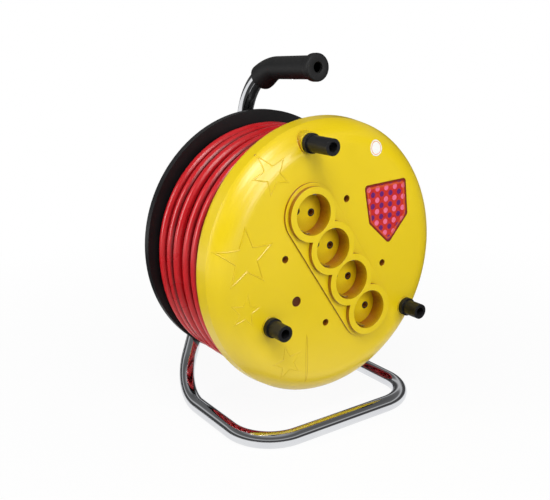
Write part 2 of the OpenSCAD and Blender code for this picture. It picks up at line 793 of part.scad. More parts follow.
module earth_lead() {
    inner_lead("yellowgreen", -1, [-14, 26], row_mid - 12 * row_dir, insert_back_y + 2 * bar_t);
}

// Lead from the cut-out to the live bar.
module live_link() {
    from = reset_at + [9.3, 1.5];
    target = row_mid + pin_offset(1) + 18 * row_dir;
    lead("saddlebrown", [
        [tie(from, cutout_front_y + cutout_len), 0],
        [tie(from, disc_back_y + 6), 5],
        [tie(target, disc_back_y + 6), 5],
        [tie(target, sleeve_back_y), 0]
    ]);
}

// Frame at the hub's wall with Z along the cable's inner end, outward.
module inner_end_frame() {
    at = polar(hub_d / 2 - hub_wall / 2, inner_end_angle);
    translate(tie(at, inner_end_y)) rotate([0, 90 - inner_end_angle, 0]) children();
}

// Inner end of the cable, from the winding through the hub's wall.
module cable_inner_end() {
    from = inner_end_r - hub_d / 2 + hub_wall / 2;
    color("crimson") placed() inner_end_frame() translate([0, 0, from])
        cylinder(h = hub_d / 2 - inner_end_r - end_inset, d = cable_d);
}

module cable_grommet() {
    color("#202224") placed() inner_end_frame() difference() {
        union() {
            translate([0, 0, -hub_wall / 2 - 2]) cylinder(h = hub_wall + 2 - end_inset, d = cable_d + 3.8);
            translate([0, 0, -hub_wall / 2 - 4.5]) cylinder(h = 2.5, d = cable_d + 7);
        }
        cylinder(h = 40, d = cable_d + 2 * fit_gap, center = true);
    }
}

function clamp_screw_at(side) = polar(clamp_r, inner_end_angle)
    + polar(side * (cable_d / 2 + 4), inner_end_angle + 90);

// Block that clamps the cable's inner end to the front flange.
module cable_clamp() {
    depth = cable_d + 9;
    color("#303236") placed() difference() {
        slab(disc_back_y, disc_back_y + depth)
            translate(polar(clamp_r, inner_end_angle)) rotate(inner_end_angle)
            square([10, cable_d + 16], center = true);
        inner_end_frame() cylinder(h = 80, d = cable_d + 2 * fit_gap, center = true);
        for (side = [-1, 1]) rod(disc_back_y - cut, rear_y, 3.2, clamp_screw_at(side));
    }
}

module clamp_screws() {
    depth = cable_d + 9;
    color("silver") placed() for (side = [-1, 1]) {
        rod(rim_y + 0.3, disc_back_y + depth, 3, clamp_screw_at(side));
        rod(disc_back_y + depth, disc_back_y + depth + 2, 5.6, clamp_screw_at(side));
    }
}

// ---------------------------------------------------------------- pegs and labels

// Plain peg with a collar and a hollow end.
module peg(at) {
    color("#202224") placed() difference() {
        union() {
            rod(pad_y - peg_collar_t, pad_y, peg_collar_d, at);
            rod(pad_y - peg_len, pad_y, peg_d, at);
        }
        rod(pad_y - peg_len - cut, pad_y - peg_len + peg_hollow_depth, peg_hollow_d, at);
        rod(pad_y - 8, pad_y + cut, 4.04, at);
    }
}

module peg_right() {
    peg(peg_right_at);
}

module peg_left() {
    peg(peg_left_at);
}

// Fixed pin that the winding knob turns on.
module knob_pin() {
    head_d = peg_hollow_d - 1;
    color("silver") placed() difference() {
        union() {
            rod(pad_y - 21, pad_y, knob_pin_d, knob_at);
            rod(pad_y - 23, pad_y - 21, head_d, knob_at);
        }
        rod(pad_y - 8, pad_y + cut, 4.04, knob_at);
    }
}

// Sleeve that turns on the knob pin.
module winding_knob() {
    color("#202224") placed() difference() {
        union() {
            rod(pad_y - peg_collar_t, pad_y - 0.3, peg_collar_d, knob_at);
            rod(knob_front_y, pad_y - 0.3, peg_d, knob_at);
        }
        rod(knob_front_y - cut, pad_y - 20.7, peg_hollow_d, knob_at);
        rod(pad_y - 22, pad_y, knob_pin_d + 2 * running_gap, knob_at);
    }
}

module peg_screws() {
    seat_y = face_y + cover_wall + 2;
    color("silver") placed() for (at = [knob_at, peg_right_at, peg_left_at]) {
        rod(pad_y - 7, seat_y, 4, at);
        rod(seat_y, seat_y + 2.5, 8, at);
    }
}

decal_at = front_d / 2 * [0.453, 0.307];
label_at = front_d / 2 * [0.349, 0.767];
decal_outline = [[-31, 30], [28, 33], [33, -8], [6, -38], [-23, -12]];

module picture_decal() {
    color("orangered") placed() slab(face_y - label_t, face_y) translate(decal_at)
        polygon(rounded(decal_outline, 4));
}

// The label follows the face and the start of the shoulder.
module round_label() {
    outer = dish_edge(-label_t);
    inner = dish_edge(0);
    color("white") placed() intersection() {
        turned() polygon(concat(
            [[0, face_y - label_t]], outer, [for (i = [len(inner) - 1 : -1 : 0]) inner[i]], [[0, face_y]]
        ));
        rod(face_y - 2, face_y + 8, 17, label_at);
    }
}

// ---------------------------------------------------------------- cable

// Inner layers of the winding, as one plain ring.
module cable_core() {
    color("crimson") placed() turned() translate([hub_d / 2, disc_back_y + side_gap])
        square([core_r - hub_d / 2, web_y - disc_back_y - 2 * side_gap]);
}

// Angle and place of ring i of the outer layer, counted from its free end at the rear.
function winding_angle(i) = winding_end_angle - 360 * i / rings_per_turn;
function winding_point(i) = let(at = polar(layer_r, winding_angle(i)))
    [at.x, winding_to_y - turn_pitch * i / rings_per_turn, at.y];
// The free end runs straight for one diameter of the cable.
winding_lead = winding_point(0) + cable_d * unit(winding_point(0) - winding_point(1));
winding_points = concat([winding_lead], [for (i = [0 : ring_count]) winding_point(i)]);

// Least gap of the outer layer to itself, measured between rings one turn apart.
winding_gap = min([for (i = [0 : ring_count - rings_per_turn], k = [-1 : 1])
    norm(winding_point(i) - winding_point(min(ring_count, i + rings_per_turn + k)))]) - cable_d;
echo(winding_gap = winding_gap, winding_turns = winding_turns, winding_lead = winding_lead);

module cable_winding() {
    color("crimson") placed() swept(winding_points, cable_d, 6);
}

// Free end of the cable, from the last turn to the plug. It leaves the turn and meets the plug square.
winding_exit = cable_d * unit(winding_lead - winding_point(0));
module cable_tail() {
    color("crimson") placed() swept(concat([winding_lead, winding_lead + winding_exit], tail_points,
        [plug_back - [0, 0, cable_d], plug_back]), cable_d, 8);
}

// ---------------------------------------------------------------- plug

// Places a solid drawn about +Z, with its front face at 0, on the winding.
module plug_frame() {
    placed() translate(plug_at) translate([0, 0, plug_len / 2]) children();
}

module plug_body() {
    color("#202224") plug_frame() difference() {
        rotate_extrude() polygon([
            [0, 0], [plug_d / 2, 0], [plug_d / 2, -12], [plug_d / 2 - 4, -24],
            [plug_tail_d / 2 + 2, -plug_len], [plug_tail_d / 2, -plug_len],
            [plug_tail_d / 2 - 1, -plug_len - plug_tail_len], [0, -plug_len - plug_tail_len]
        ]);
        for (side = [-1, 1]) translate([side * (plug_d / 2 - 1.5), 0, -6]) cube([3.4, 7, 14], center = true);
    }
}

module plug_pins() {
    color("silver") plug_frame() for (side = [-1, 1]) translate([0, side * pin_pitch / 2, 0])
        cylinder(h = pin_len, d = pin_d);
}

module plug_earth_strips() {
    color("silver") plug_frame() for (side = [-1, 1]) translate([side * (plug_d / 2 - 2.6), 0, -6.5])
        cube([1, 6, 12], center = true);
}

stand_tube();
leg_end_plug();
handle_grip();
grip_elbow();
grip_screw();
bracket_front();
bracket_rear();
bracket_bolts();
bracket_nuts();
axle();
thrust_washer();
retaining_washer();
axle_nut();
axle_cap();
rear_flange();
axle_bush();
drum_hub();
front_flange();
flange_screws();
front_cover();
cover_screws();
socket_insert(0);  // socket_1
socket_insert(1);  // socket_2
socket_insert(2);  // socket_3
socket_insert(3);  // socket_4
earth_clips();
contact_sleeves();
live_busbar();
neutral_busbar();
earth_busbar();
thermal_cutout();
reset_button();
live_lead();
live_link();
neutral_lead();
earth_lead();
cable_clamp();
clamp_screws();
cable_grommet();
peg_right();
peg_left();
winding_knob();
knob_pin();
peg_screws();
picture_decal();
round_label();
cable_inner_end();
cable_core();
cable_winding();
cable_tail();
plug_body();
plug_pins();
plug_earth_strips();
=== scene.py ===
# %% [markdown]
# # An extension cord reel
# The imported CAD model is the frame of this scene: its solids are already in place, in metres,
# with the ground at z = 0. We keep the solids whose shape is right and only give them a finish.
# We build anew what a plain solid can't show: the chromed tube, the soft grip, the wound cable
# with its plug, the moulded stars, the printed film and the collars of the pin holes.
# %% Load the frame
import json

import bpy
import numpy as np
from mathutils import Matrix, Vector

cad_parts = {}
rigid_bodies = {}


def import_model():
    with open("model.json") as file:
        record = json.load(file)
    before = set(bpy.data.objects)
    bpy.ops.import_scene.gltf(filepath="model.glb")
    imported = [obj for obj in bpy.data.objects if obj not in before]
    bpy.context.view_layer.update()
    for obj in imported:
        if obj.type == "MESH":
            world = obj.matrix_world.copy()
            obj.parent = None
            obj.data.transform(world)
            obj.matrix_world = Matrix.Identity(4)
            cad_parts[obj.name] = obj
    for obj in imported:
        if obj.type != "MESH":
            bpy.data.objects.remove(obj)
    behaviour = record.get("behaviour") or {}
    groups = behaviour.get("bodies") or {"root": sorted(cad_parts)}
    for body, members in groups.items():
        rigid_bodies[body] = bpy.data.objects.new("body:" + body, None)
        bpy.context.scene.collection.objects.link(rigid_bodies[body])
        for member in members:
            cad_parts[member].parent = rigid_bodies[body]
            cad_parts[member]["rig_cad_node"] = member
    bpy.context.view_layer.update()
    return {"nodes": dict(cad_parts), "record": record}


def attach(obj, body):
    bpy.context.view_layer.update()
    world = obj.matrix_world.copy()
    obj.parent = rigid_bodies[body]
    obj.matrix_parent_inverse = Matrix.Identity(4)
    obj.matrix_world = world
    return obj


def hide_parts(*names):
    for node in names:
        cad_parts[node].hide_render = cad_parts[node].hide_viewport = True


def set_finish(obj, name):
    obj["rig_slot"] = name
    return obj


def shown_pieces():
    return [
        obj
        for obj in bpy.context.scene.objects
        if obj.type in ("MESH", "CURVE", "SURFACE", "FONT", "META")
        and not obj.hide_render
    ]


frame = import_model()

# %% [markdown]
# ## Where things are
# The solids were drawn about the axle, in millimetres: x to the right, y to the back, z up. It is
# easier to think that way here too, so one function moves such points into the frame.
# %% Drawing frame
AXLE_AT = np.array([0.0, 7.65, 185.0])


def place(points):
    """Adds the axle's place to points drawn about the axle in millimetres, and gives metres."""
    return (np.asarray(points, float) + AXLE_AT) / 1000.0


print("axle at", place([0, 0, 0]))

# %% [markdown]
# ## The camera
# It stands to the left of the reel and a little above it, less than a metre away, so the drum's
# front and the wound cable both show. Its direction is kept as two angles. A small shift of the
# lens sets the framing without turning the camera, which would bend the upright lines.
# %% Camera
CAMERA_AZIMUTH, CAMERA_ELEVATION = np.radians(-35.644), np.radians(15.139)
CAMERA_DISTANCE = 907.77
to_camera = np.array([
    np.sin(CAMERA_AZIMUTH) * np.cos(CAMERA_ELEVATION),
    -np.cos(CAMERA_AZIMUTH) * np.cos(CAMERA_ELEVATION),
    np.sin(CAMERA_ELEVATION),
])
camera_data = bpy.data.cameras.new("camera")
camera_data.sensor_width = 36.0
camera_data.lens = 52.08
camera_data.shift_x, camera_data.shift_y = -0.01957, -0.01294
camera_data.clip_start, camera_data.clip_end = 0.01, 100.0
camera = bpy.data.objects.new("camera", camera_data)
camera.location = place(CAMERA_DISTANCE * to_camera)
camera.rotation_mode = "QUATERNION"
camera.rotation_quaternion = Vector(-to_camera).to_track_quat("-Z", "Y")
bpy.context.scene.collection.objects.link(camera)
bpy.context.scene.camera = camera
print("camera at", np.round(camera.location, 4))

# %% [markdown]
# ## Surfaces from arrays
# Every new piece is a grid of points bent into shape. A grid has rows and columns. Its columns
# always join into a loop, as round a tube, and its rows can do so too, as along a closed ring. The
# points come from numpy in one go, and so do the faces between them.
# %% Grids
def grid_faces(rows, cols, join_rows=False):
    """Numbers the corners of the quad between each row and column and the next ones. Corner (i, j) has
    number i * cols + j. The last column is followed by the first one, and so is the last row if rows join."""
    i, j = np.meshgrid(np.arange(rows if join_rows else rows - 1), np.arange(cols), indexing="ij")
    di, dj = (i + 1) % rows, (j + 1) % cols
    corners = [i * cols + j, i * cols + dj, di * cols + dj, di * cols + j]
    return np.stack(corners, -1).reshape(-1, 4), (i.ravel(), j.ravel())


def enclosed(points, faces):
    """Sums the signed volumes of the cones from the origin to each quad: above 0 where faces point out."""
    a, b, c, d = (points[faces[:, k]] for k in range(4))
    return float((np.cross(a, b) * c).sum() + (np.cross(a, c) * d).sum()) / 6


def new_piece(name, mesh, body, slot_name, sharp=30):
    """Links a finished mesh as a piece that rides on a body. Edges that turn by more than sharp degrees
    stay sharp."""
    mesh.polygons.foreach_set("use_smooth", np.ones(len(mesh.polygons), bool))
    mesh.set_sharp_from_angle(angle=float(np.radians(sharp)))
    mesh.validate()
    piece = bpy.data.objects.new(name, mesh)
    bpy.context.scene.collection.objects.link(piece)
    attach(piece, body)
    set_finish(piece, slot_name)
    mesh.calc_loop_triangles()
    print(f"{name}: {len(mesh.loop_triangles)} triangles")
    return piece


def grid_mesh(name, points, join_rows=False, caps=False, lengths=None):
    """Makes a mesh from a grid of points in metres, rows by columns by 3. Its UV map is the row's place along
    the grid, in metres where lengths are given, and the column's share of the way round."""
    rows, cols = points.shape[:2]
    faces, (i, j) = grid_faces(rows, cols, join_rows)
    flat = points.reshape(-1, 3)
    centre = flat.mean(0)
    turned = enclosed(flat - centre, faces) < 0
    along = np.arange(rows + 1.0) if lengths is None else np.append(lengths, lengths[-1])
    uv = np.stack([
        np.stack([along[i], j / cols], -1), np.stack([along[i], (j + 1) / cols], -1),
        np.stack([along[i + 1], (j + 1) / cols], -1), np.stack([along[i + 1], j / cols], -1),
    ], 1)
    if turned:
        faces, uv = faces[:, ::-1], uv[:, ::-1]
    loops = faces.tolist()
    uv = uv.reshape(-1, 2)
    if caps:
        first, last = np.arange(cols), (rows - 1) * cols + np.arange(cols)
        ends = [first[::-1], last] if not turned else [first, last[::-1]]
        if enclosed(flat - centre, faces) < 0:
            ends = [e[::-1] for e in ends]
        loops += [e.tolist() for e in ends]
        uv = np.concatenate([uv, np.zeros((2 * cols, 2))])
    mesh = bpy.data.meshes.new(name)
    mesh.from_pydata(flat, [], loops)
    mesh.uv_layers.new(name="UVMap").data.foreach_set("uv", uv.ravel().astype(np.float32))
    return mesh


def unit(v):
    """Divides each vector by its length."""
    return v / np.linalg.norm(v, axis=-1, keepdims=True)


def sweep(path, radius, sides, facing):
    """Carries a circle along a path. The circle's plane is square to the path, from the chord between the
    neighbours of each point, and its first direction is square to the path and to facing."""
    along = unit(np.gradient(path, axis=0))
    across = unit(np.cross(along, facing))
    up = np.cross(across, along)
    t = np.linspace(0, 2 * np.pi, sides, endpoint=False)[None, :, None]
    return path[:, None] + radius * (np.cos(t) * across[:, None] + np.sin(t) * up[:, None])


def lengths_of(path):
    """Adds up the distances between neighbouring points of a path."""
    return np.concatenate([[0], np.cumsum(np.linalg.norm(np.diff(path, axis=0), axis=1))])


print("a tube of 3 rings with 4 points each has", len(grid_faces(3, 4)[0]), "quads")

# %% [markdown]
# ## The cable
# A reel of this kind carries 25 m of sheathed cable, 10.5 mm thick. It comes out of the hub by the
# front flange and lies in five layers, each a screw line from one flange to the other. Where it
# reaches a flange, it climbs one cable's thickness in a quarter of a turn and goes back over
# itself. The inner layers lie close, and the outer one is wound by hand with wide gaps, through
# which the layer below shows. One tube along one curve is the honest way to show all this: the
# length, the crossings and the highlights then come by themselves.
# %% Cable route
CABLE_D = 10.5
FRONT_Y, REAR_Y = -52.75, 46.308           # middle of the cable beside each flange
LAYERS = 5
LAYER_R = np.linspace(85.25, 128.75, LAYERS)
INNER_PITCH, OUTER_PITCH = 12.7, 17.0      # the inner pitch changes a little, to end at the right angle
FREE_END_ANGLE = -105.0
HUB_EXIT_ANGLE, HUB_EXIT_Y, HUB_HOLE_R = 150.0, -47.25, 80.0
CLIMB = 90.0                               # degrees of turn in which the cable climbs to the next layer
HIDDEN_STEPS, SEEN_STEPS = 48, 96          # points per turn in the hidden layers and in those that show


def screw_line(angle_from, turns, r, y_from, y_to, per_turn):
    """Angle, radius and y of a screw line, in equal steps of angle."""
    n = int(np.ceil(abs(turns) * per_turn)) + 1
    t = np.linspace(0, 1, n)
    return np.stack([angle_from + 360 * turns * t, np.full(n, r), y_from + (y_to - y_from) * t], -1)


def climb(angle_from, r_from, r_to, y, per_turn):
    """Angle, radius and y where the cable climbs along a flange: the radius eases from one layer to the
    next as half a cosine wave."""
    n = int(CLIMB / 360 * per_turn)
    t = (np.arange(n) + 1) / (n + 1)
    return np.stack([angle_from + CLIMB * t, r_from + (r_to - r_from) * (1 - np.cos(np.pi * t)) / 2,
                     np.full(n, y)], -1)


width = REAR_Y - FRONT_Y
outer_turns = width / OUTER_PITCH
inner_height = (REAR_Y - HUB_EXIT_Y) + (LAYERS - 2) * width
# The angle from the hub's hole to the free end fixes the part of a turn that the inner layers take.
share = (FREE_END_ANGLE - HUB_EXIT_ANGLE - 360 * outer_turns - (LAYERS - 1) * CLIMB) / 360 % 1
inner_turns = np.floor(inner_height / INNER_PITCH) + share
pitch = inner_height / inner_turns
print("inner pitch", round(pitch, 2), "turns", round(inner_turns + outer_turns + 1, 2))

stretches, angle = [], HUB_EXIT_ANGLE
y_now = HUB_EXIT_Y
for layer, r in enumerate(LAYER_R):
    y_next = REAR_Y if layer % 2 == 0 else FRONT_Y
    is_outer = layer == LAYERS - 1
    per_turn = HIDDEN_STEPS if layer < LAYERS - 2 else SEEN_STEPS
    turns = outer_turns if is_outer else abs(y_next - y_now) / pitch
    stretches.append(screw_line(angle, turns, r, y_now, y_next, per_turn))
    angle += 360 * turns
    if not is_outer:
        stretches.append(climb(angle, r, LAYER_R[layer + 1], y_next, per_turn))
        angle += CLIMB
    y_now = y_next
wound = np.concatenate(stretches)
outer = np.zeros(len(wound), bool)
outer[-len(stretches[-1]):] = True
outer_share = np.zeros(len(wound))
outer_share[outer] = np.linspace(0, 1, outer.sum())

# %% [markdown]
# A hand-wound layer isn't even. Slow waves push the outer turns a little to and fro, and they fade
# out at both of its ends, where a flange or the free end holds the cable. The outer layer is also
# loose: it lifts off a little at the left and hangs down by a cable's thickness at the bottom.
# %% Unevenness
SWAY, FLUTTER = 1.6, 0.9                      # height of the slow and the quicker wave
SETTLING_TURNS = 0.25                         # part of a turn after which the outer layer hangs freely
LOOSE, LOOSEST_ANGLE = 3.6, 195.0             # how far the turns lift off at the left
SAG_HALF_WIDTH = 78.0                         # degrees on each side of the lowest angle
DIP, DIP_ANGLE = 6.0, 22.0                    # how the cable sinks into the hub's hole
LOWEST_ANGLE = FREE_END_ANGLE

fade = np.sin(np.pi * outer_share) ** 0.5
turn_angle = np.radians(wound[:, 0])
wound[:, 2] += fade * (SWAY * np.sin(0.37 * turn_angle + 0.9) + FLUTTER * np.sin(1.13 * turn_angle))
settled = np.clip(outer_share * outer_turns / SETTLING_TURNS, 0, 1) ** 2
hang = LOOSE * np.clip(np.cos(turn_angle - np.radians(LOOSEST_ANGLE)), 0, 1) ** 0.7
from_low = np.abs((wound[:, 0] - LOWEST_ANGLE + 180) % 360 - 180)
hang += CABLE_D * np.cos(np.radians(90) * np.clip(from_low / SAG_HALF_WIDTH, 0, 1)) ** 2
wound[:, 1] += hang * settled
in_hole = wound[:, 0] < HUB_EXIT_ANGLE + DIP_ANGLE
wound[in_hole, 1] -= DIP * ((HUB_EXIT_ANGLE + DIP_ANGLE - wound[in_hole, 0]) / DIP_ANGLE) ** 2

wound_path = np.stack([wound[:, 1] * np.cos(turn_angle), wound[:, 2], wound[:, 1] * np.sin(turn_angle)], -1)
print("the outer layer hangs out by up to", round(float((hang * settled).max()), 1), "mm")

# %% [markdown]
# From the free end the cable goes on under the winding and rises beside it, at the right, to its plug. A few
# listed points lead it there, with a smooth curve through them. Then one tube follows the whole route.
# %% Cable with its tail
def through(points, step):
    """A smooth curve through points: on each stretch a cubic whose slope at a point is half the chord
    between its neighbours. It is then cut into equal steps."""
    p = np.asarray(points, float)
    slope = np.gradient(p, axis=0)
    t = np.linspace(0, 1, 24, endpoint=False)[None, :, None]
    a, b, m, n = p[:-1, None], p[1:, None], slope[:-1, None], slope[1:, None]
    fine = ((2 * t**3 - 3 * t**2 + 1) * a + (t**3 - 2 * t**2 + t) * m
            + (-2 * t**3 + 3 * t**2) * b + (t**3 - t**2) * n).reshape(-1, 3)
    fine = np.concatenate([fine, p[-1:]])
    along = lengths_of(fine)
    at = np.linspace(0, along[-1], int(along[-1] / step) + 1)
    return np.stack([np.interp(at, along, fine[:, k]) for k in range(3)], -1)


PLUG_AT = np.array([153.4, 17.267, 22.0])     # middle of the plug's front face, which points up
PLUG_LENGTH = 58.0
STRAIGHT_LEAD = 21.0                          # how far the free end goes straight on
IN_SLEEVE = 8.0                               # how far the cable reaches into the plug
TAIL_STEP = 4.0
PLUG_BACK = PLUG_AT - [0, 0, PLUG_LENGTH]
lead_out = unit(wound_path[-1] - wound_path[-5])
tail_points = np.concatenate([
    [wound_path[-1], wound_path[-1] + STRAIGHT_LEAD * lead_out],
    PLUG_AT * [0, 1, 0] + [[8, 28.7, -142.5], [29, 26.9, -141], [51, 23.1, -134.5], [76, 18.2, -121.5],
                           [103, 11.6, -104.5], [130, 4.9, -87.5], [147, 1, -69]],
    [PLUG_BACK - [0, 0, CABLE_D], PLUG_BACK, PLUG_BACK + [0, 0, IN_SLEEVE]]])
tail_path = through(tail_points, TAIL_STEP)
cable_path = place(np.concatenate([wound_path, tail_path[1:]]))
cable_length = lengths_of(cable_path)
cable_mesh = grid_mesh(
    "cable_on_drum", sweep(cable_path, CABLE_D / 2000, 20, [0, 1, 0]), caps=True, lengths=cable_length)
cable = new_piece("cable_on_drum", cable_mesh, "drum", "cable_red")
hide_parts("cable_core", "cable_winding", "cable_tail")
print("cable length", round(float(cable_length[-1]), 3), "m")

# %% [markdown]
# ## The plug
# The plug is one moulding of black rubber, turned about the cable: a round face, a waist with
# ribs for the fingers, and a tapered sleeve with slots that lets the cable bend. Most of it is a
# turned profile. The ribs and the two flats for the earth strips are waves and cuts in the radius,
# so the whole plug is still one grid.
# %% Plug
SLEEVE_RIB_R, SLEEVE_SLOT_R = [8.0, 7.9, 7.7, 7.5, 7.3], [6.9, 6.8, 6.6, 6.5]
FIRST_SLOT, SLOT_STEP = -38.6, 4.0
slotted = []
for k, slot_r in enumerate(SLEEVE_SLOT_R):
    z = FIRST_SLOT - SLOT_STEP * k
    slotted += [[SLEEVE_RIB_R[k], z], [slot_r, z - 0.4], [slot_r, z - 1.6], [SLEEVE_RIB_R[k + 1], z - 2.0]]
plug_profile = np.array([
    [0.05, 0], [17.6, 0], [18.6, -0.4], [19, -1.4], [19, -11.2], [18.6, -12.2], [17.6, -13.4], [17.0, -15],
    [16.6, -17], [16.0, -19.5], [15.2, -22], [14.2, -25], [13.2, -28], [12.0, -31], [10.6, -34], [9.6, -35.6],
    [8.2, -36.2], [8.0, -37]] + slotted + [[7.2, -57], [6.6, -58], [5.3, -58], [5.3, -56], [0.05, -56]])
PLUG_COLUMNS = 144
RIBS, RIB_DEPTH, RIBS_FROM, RIBS_TO = 24, 0.45, 13.0, 34.5
STRIP_HALF_WIDTH, STRIP_END, STRIP_OFF_AXIS = 3.6, 13.2, 15.7
theta = np.linspace(0, 2 * np.pi, PLUG_COLUMNS, endpoint=False)
radius = np.repeat(plug_profile[:, :1], PLUG_COLUMNS, 1)
depth = np.repeat(plug_profile[:, 1:], PLUG_COLUMNS, 1)
ribbed = np.clip((-depth - RIBS_FROM) / 2, 0, 1) * np.clip((depth + RIBS_TO) / 3, 0, 1)
radius -= RIB_DEPTH * ribbed * (1 - np.cos(RIBS * theta)) / 2
beside_strip = (np.abs(np.sin(theta))[None] * radius < STRIP_HALF_WIDTH) & (depth > -STRIP_END)
flat = STRIP_OFF_AXIS / np.maximum(np.abs(np.cos(theta)), 0.5)
radius = np.where(beside_strip, np.minimum(radius, flat), radius)
plug_points = PLUG_AT + np.stack([radius * np.cos(theta), radius * np.sin(theta), depth], -1)
plug_mesh = grid_mesh("plug_shell", place(plug_points), caps=True)
plug = new_piece("plug_shell", plug_mesh, "drum", "plug_rubber", sharp=38)
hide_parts("plug_body")

# %% [markdown]
# ## The tube of the stand
# One steel tube, 18 mm thick, makes the handle, both legs and the base. It is bent on a machine, so
# it is straight lines joined by round arcs. We list the corners with their bend radii and work the
# arcs out. The tube is hollow, so its grid runs down the outside and back up the inside, and joins.
# %% Tube route
def rounded_route(corners, step_angle):
    """Replaces each corner by an arc that touches both lines. The arc starts r times the tangent of half the
    turn before the corner, and its middle lies r to the side of that start."""
    points = [np.array(corners[0][0], float)[None]]
    for (a, _), (p, r), (b, _) in zip(corners, corners[1:], corners[2:]):
        a, p, b = (np.array(v, float) for v in (a, p, b))
        along, onward = unit(p - a), unit(b - p)
        turn = np.arccos(along @ onward)
        side = unit(onward - (onward @ along) * along)
        start = p - along * r * np.tan(turn / 2)
        t = np.linspace(0, turn, int(np.ceil(np.degrees(turn) / step_angle)) + 1)[:, None]
        points.append(start + r * (1 - np.cos(t)) * side + r * np.sin(t) * along)
    return np.concatenate(points + [np.array(corners[-1][0], float)[None]])


def fill_in(path, longest):
    """Adds points on the straight stretches, so that no two neighbours are further apart than longest."""
    counts = np.ceil(np.linalg.norm(np.diff(path, axis=0), axis=1) / longest).astype(int)
    pieces = [a + (b - a) * np.arange(n)[:, None] / n for a, b, n in zip(path, path[1:], counts)]
    return np.concatenate(pieces + [path[-1:]])


TUBE_R, BORE_R = 9.0, 7.5
TILT_DEGREES = 2.5                            # how far the handle falls towards the back
HANDLE_FRONT = np.array([0.0, -57.0, 198.0])
HANDLE_BEND_R, INSIDE_GRIP = 72.0, 4.1        # the tube starts a little inside the grip
LEG_Y, LEG_X, LEG_Z, LEG_BEND_R = 84.0, 62.0, -82.0, 80.0
FORK_Z, LEG_TOP_Z = 66.0, 43.0                # where the legs' lines meet, and where the right one ends
BASE_Z, BASE_X, BASE_BACK, BASE_FRONT = -176.0, 112.0, 57.0, -107.0
REAR_BEND_R, FRONT_BEND_R = 58.0, 49.0

TILT = np.radians(TILT_DEGREES)
handle_back = np.array([0.0, np.cos(TILT), -np.sin(TILT)])
handle_corner = HANDLE_FRONT + handle_back * (LEG_Y - HANDLE_FRONT[1]) / np.cos(TILT)
leg_top_x = LEG_X * (FORK_Z - LEG_TOP_Z) / (FORK_Z - LEG_Z)
tube_corners = [
    (HANDLE_FRONT + INSIDE_GRIP * handle_back, 0), (handle_corner, HANDLE_BEND_R),
    ((0, LEG_Y, FORK_Z), LEG_BEND_R), ((-LEG_X, LEG_Y, LEG_Z), LEG_BEND_R),
    ((-BASE_X, BASE_BACK, BASE_Z), REAR_BEND_R), ((-BASE_X, BASE_FRONT, BASE_Z), FRONT_BEND_R),
    ((BASE_X, BASE_FRONT, BASE_Z), FRONT_BEND_R), ((BASE_X, BASE_BACK, BASE_Z), REAR_BEND_R),
    ((LEG_X, LEG_Y, LEG_Z), LEG_BEND_R), ((leg_top_x, LEG_Y, LEG_TOP_Z), 0)]
tube_path = fill_in(rounded_route(tube_corners, 3.0), 12.0)
facing = np.array([1.0, 1.0, -1.0])
outside = sweep(place(tube_path), TUBE_R / 1000, 48, facing)
inside = sweep(place(tube_path), BORE_R / 1000, 48, facing)[::-1]
both = lengths_of(place(tube_path))
tube_mesh = grid_mesh(
    "tube_frame", np.concatenate([outside, inside]), join_rows=True,
    lengths=np.concatenate([both, both[::-1]]))
tube = new_piece("tube_frame", tube_mesh, "stand", "chrome_tube")
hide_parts("stand_tube")
print("tube length", round(float(both[-1]), 3), "m")

# %% [markdown]
# ## The grip
# A sleeve of soft plastic is pushed on the handle. Its front end flares and has a hole, and behind
# it becomes an elbow that is thicker on the inside of the bend. The profile is a list: place along
# the handle, radius, and how far the ring's middle moves to the inside of the bend.
# %% Grip
ELBOW_START = 61.0                            # degrees that the tube still turns behind the elbow's thick end
SLEEVE_R, ELBOW_EXTRA, ELBOW_SHIFT, SLEEVE_BORE_R = 12.3, 2.5, 3.2, 9.2
bend_from = np.linalg.norm(handle_corner - HANDLE_FRONT) - HANDLE_BEND_R * np.tan((np.pi / 2 - TILT) / 2)
elbow_length = HANDLE_BEND_R * np.radians(90 - TILT_DEGREES - ELBOW_START)
grip_end = bend_from + elbow_length


def handle_at(s):
    """Points on the handle's middle line: straight back for bend_from, then round an arc that turns down."""
    s = np.asarray(s, float)
    straight = HANDLE_FRONT + np.minimum(s, bend_from)[:, None] * handle_back
    turn = np.maximum(s - bend_from, 0)[:, None] / HANDLE_BEND_R
    down = np.array([0.0, -np.sin(TILT), -np.cos(TILT)])
    return straight + HANDLE_BEND_R * (np.sin(turn) * handle_back + (1 - np.cos(turn)) * down)


def elbow_share(s):
    """0 on the sleeve and 1 at the elbow's thick end, which it reaches 5 degrees of bend before the end."""
    t = np.clip((s - bend_from) / (elbow_length - HANDLE_BEND_R * np.radians(5)), 0, 1)
    return t * t * (3 - 2 * t) * 0.35 + t * 0.65


front_end = [(0.9, 5.3), (0.2, 5.7), (0.0, 6.4), (0.0, 12.6), (0.15, 13.4), (0.6, 14.1), (1.4, 14.5),
             (2.4, 14.6), (7.0, 14.6), (8.0, 14.45), (8.8, 13.9), (9.5, 13.1), (10.2, 12.6), (11.4, 12.35)]
sleeve_s = np.concatenate([np.linspace(13, bend_from, 30), np.linspace(bend_from + 1.2, grip_end - 1.2, 30)])
sleeve_r = SLEEVE_R + elbow_share(sleeve_s) * ELBOW_EXTRA
rear_r = SLEEVE_R + ELBOW_EXTRA
rear_end = [(grip_end - 0.5, rear_r - 0.1), (grip_end - 0.1, rear_r - 0.5), (grip_end, rear_r - 1.2)]
bore = [(grip_end, 9.25), (grip_end - 2, SLEEVE_BORE_R), (bend_from, SLEEVE_BORE_R), (6, SLEEVE_BORE_R),
        (4.2, 9.1), (4.0, 5.3)]
grip_s = np.array([s for s, _ in front_end] + sleeve_s.tolist() + [s for s, _ in rear_end + bore])
grip_r = np.array([r for _, r in front_end] + sleeve_r.tolist() + [r for _, r in rear_end + bore])
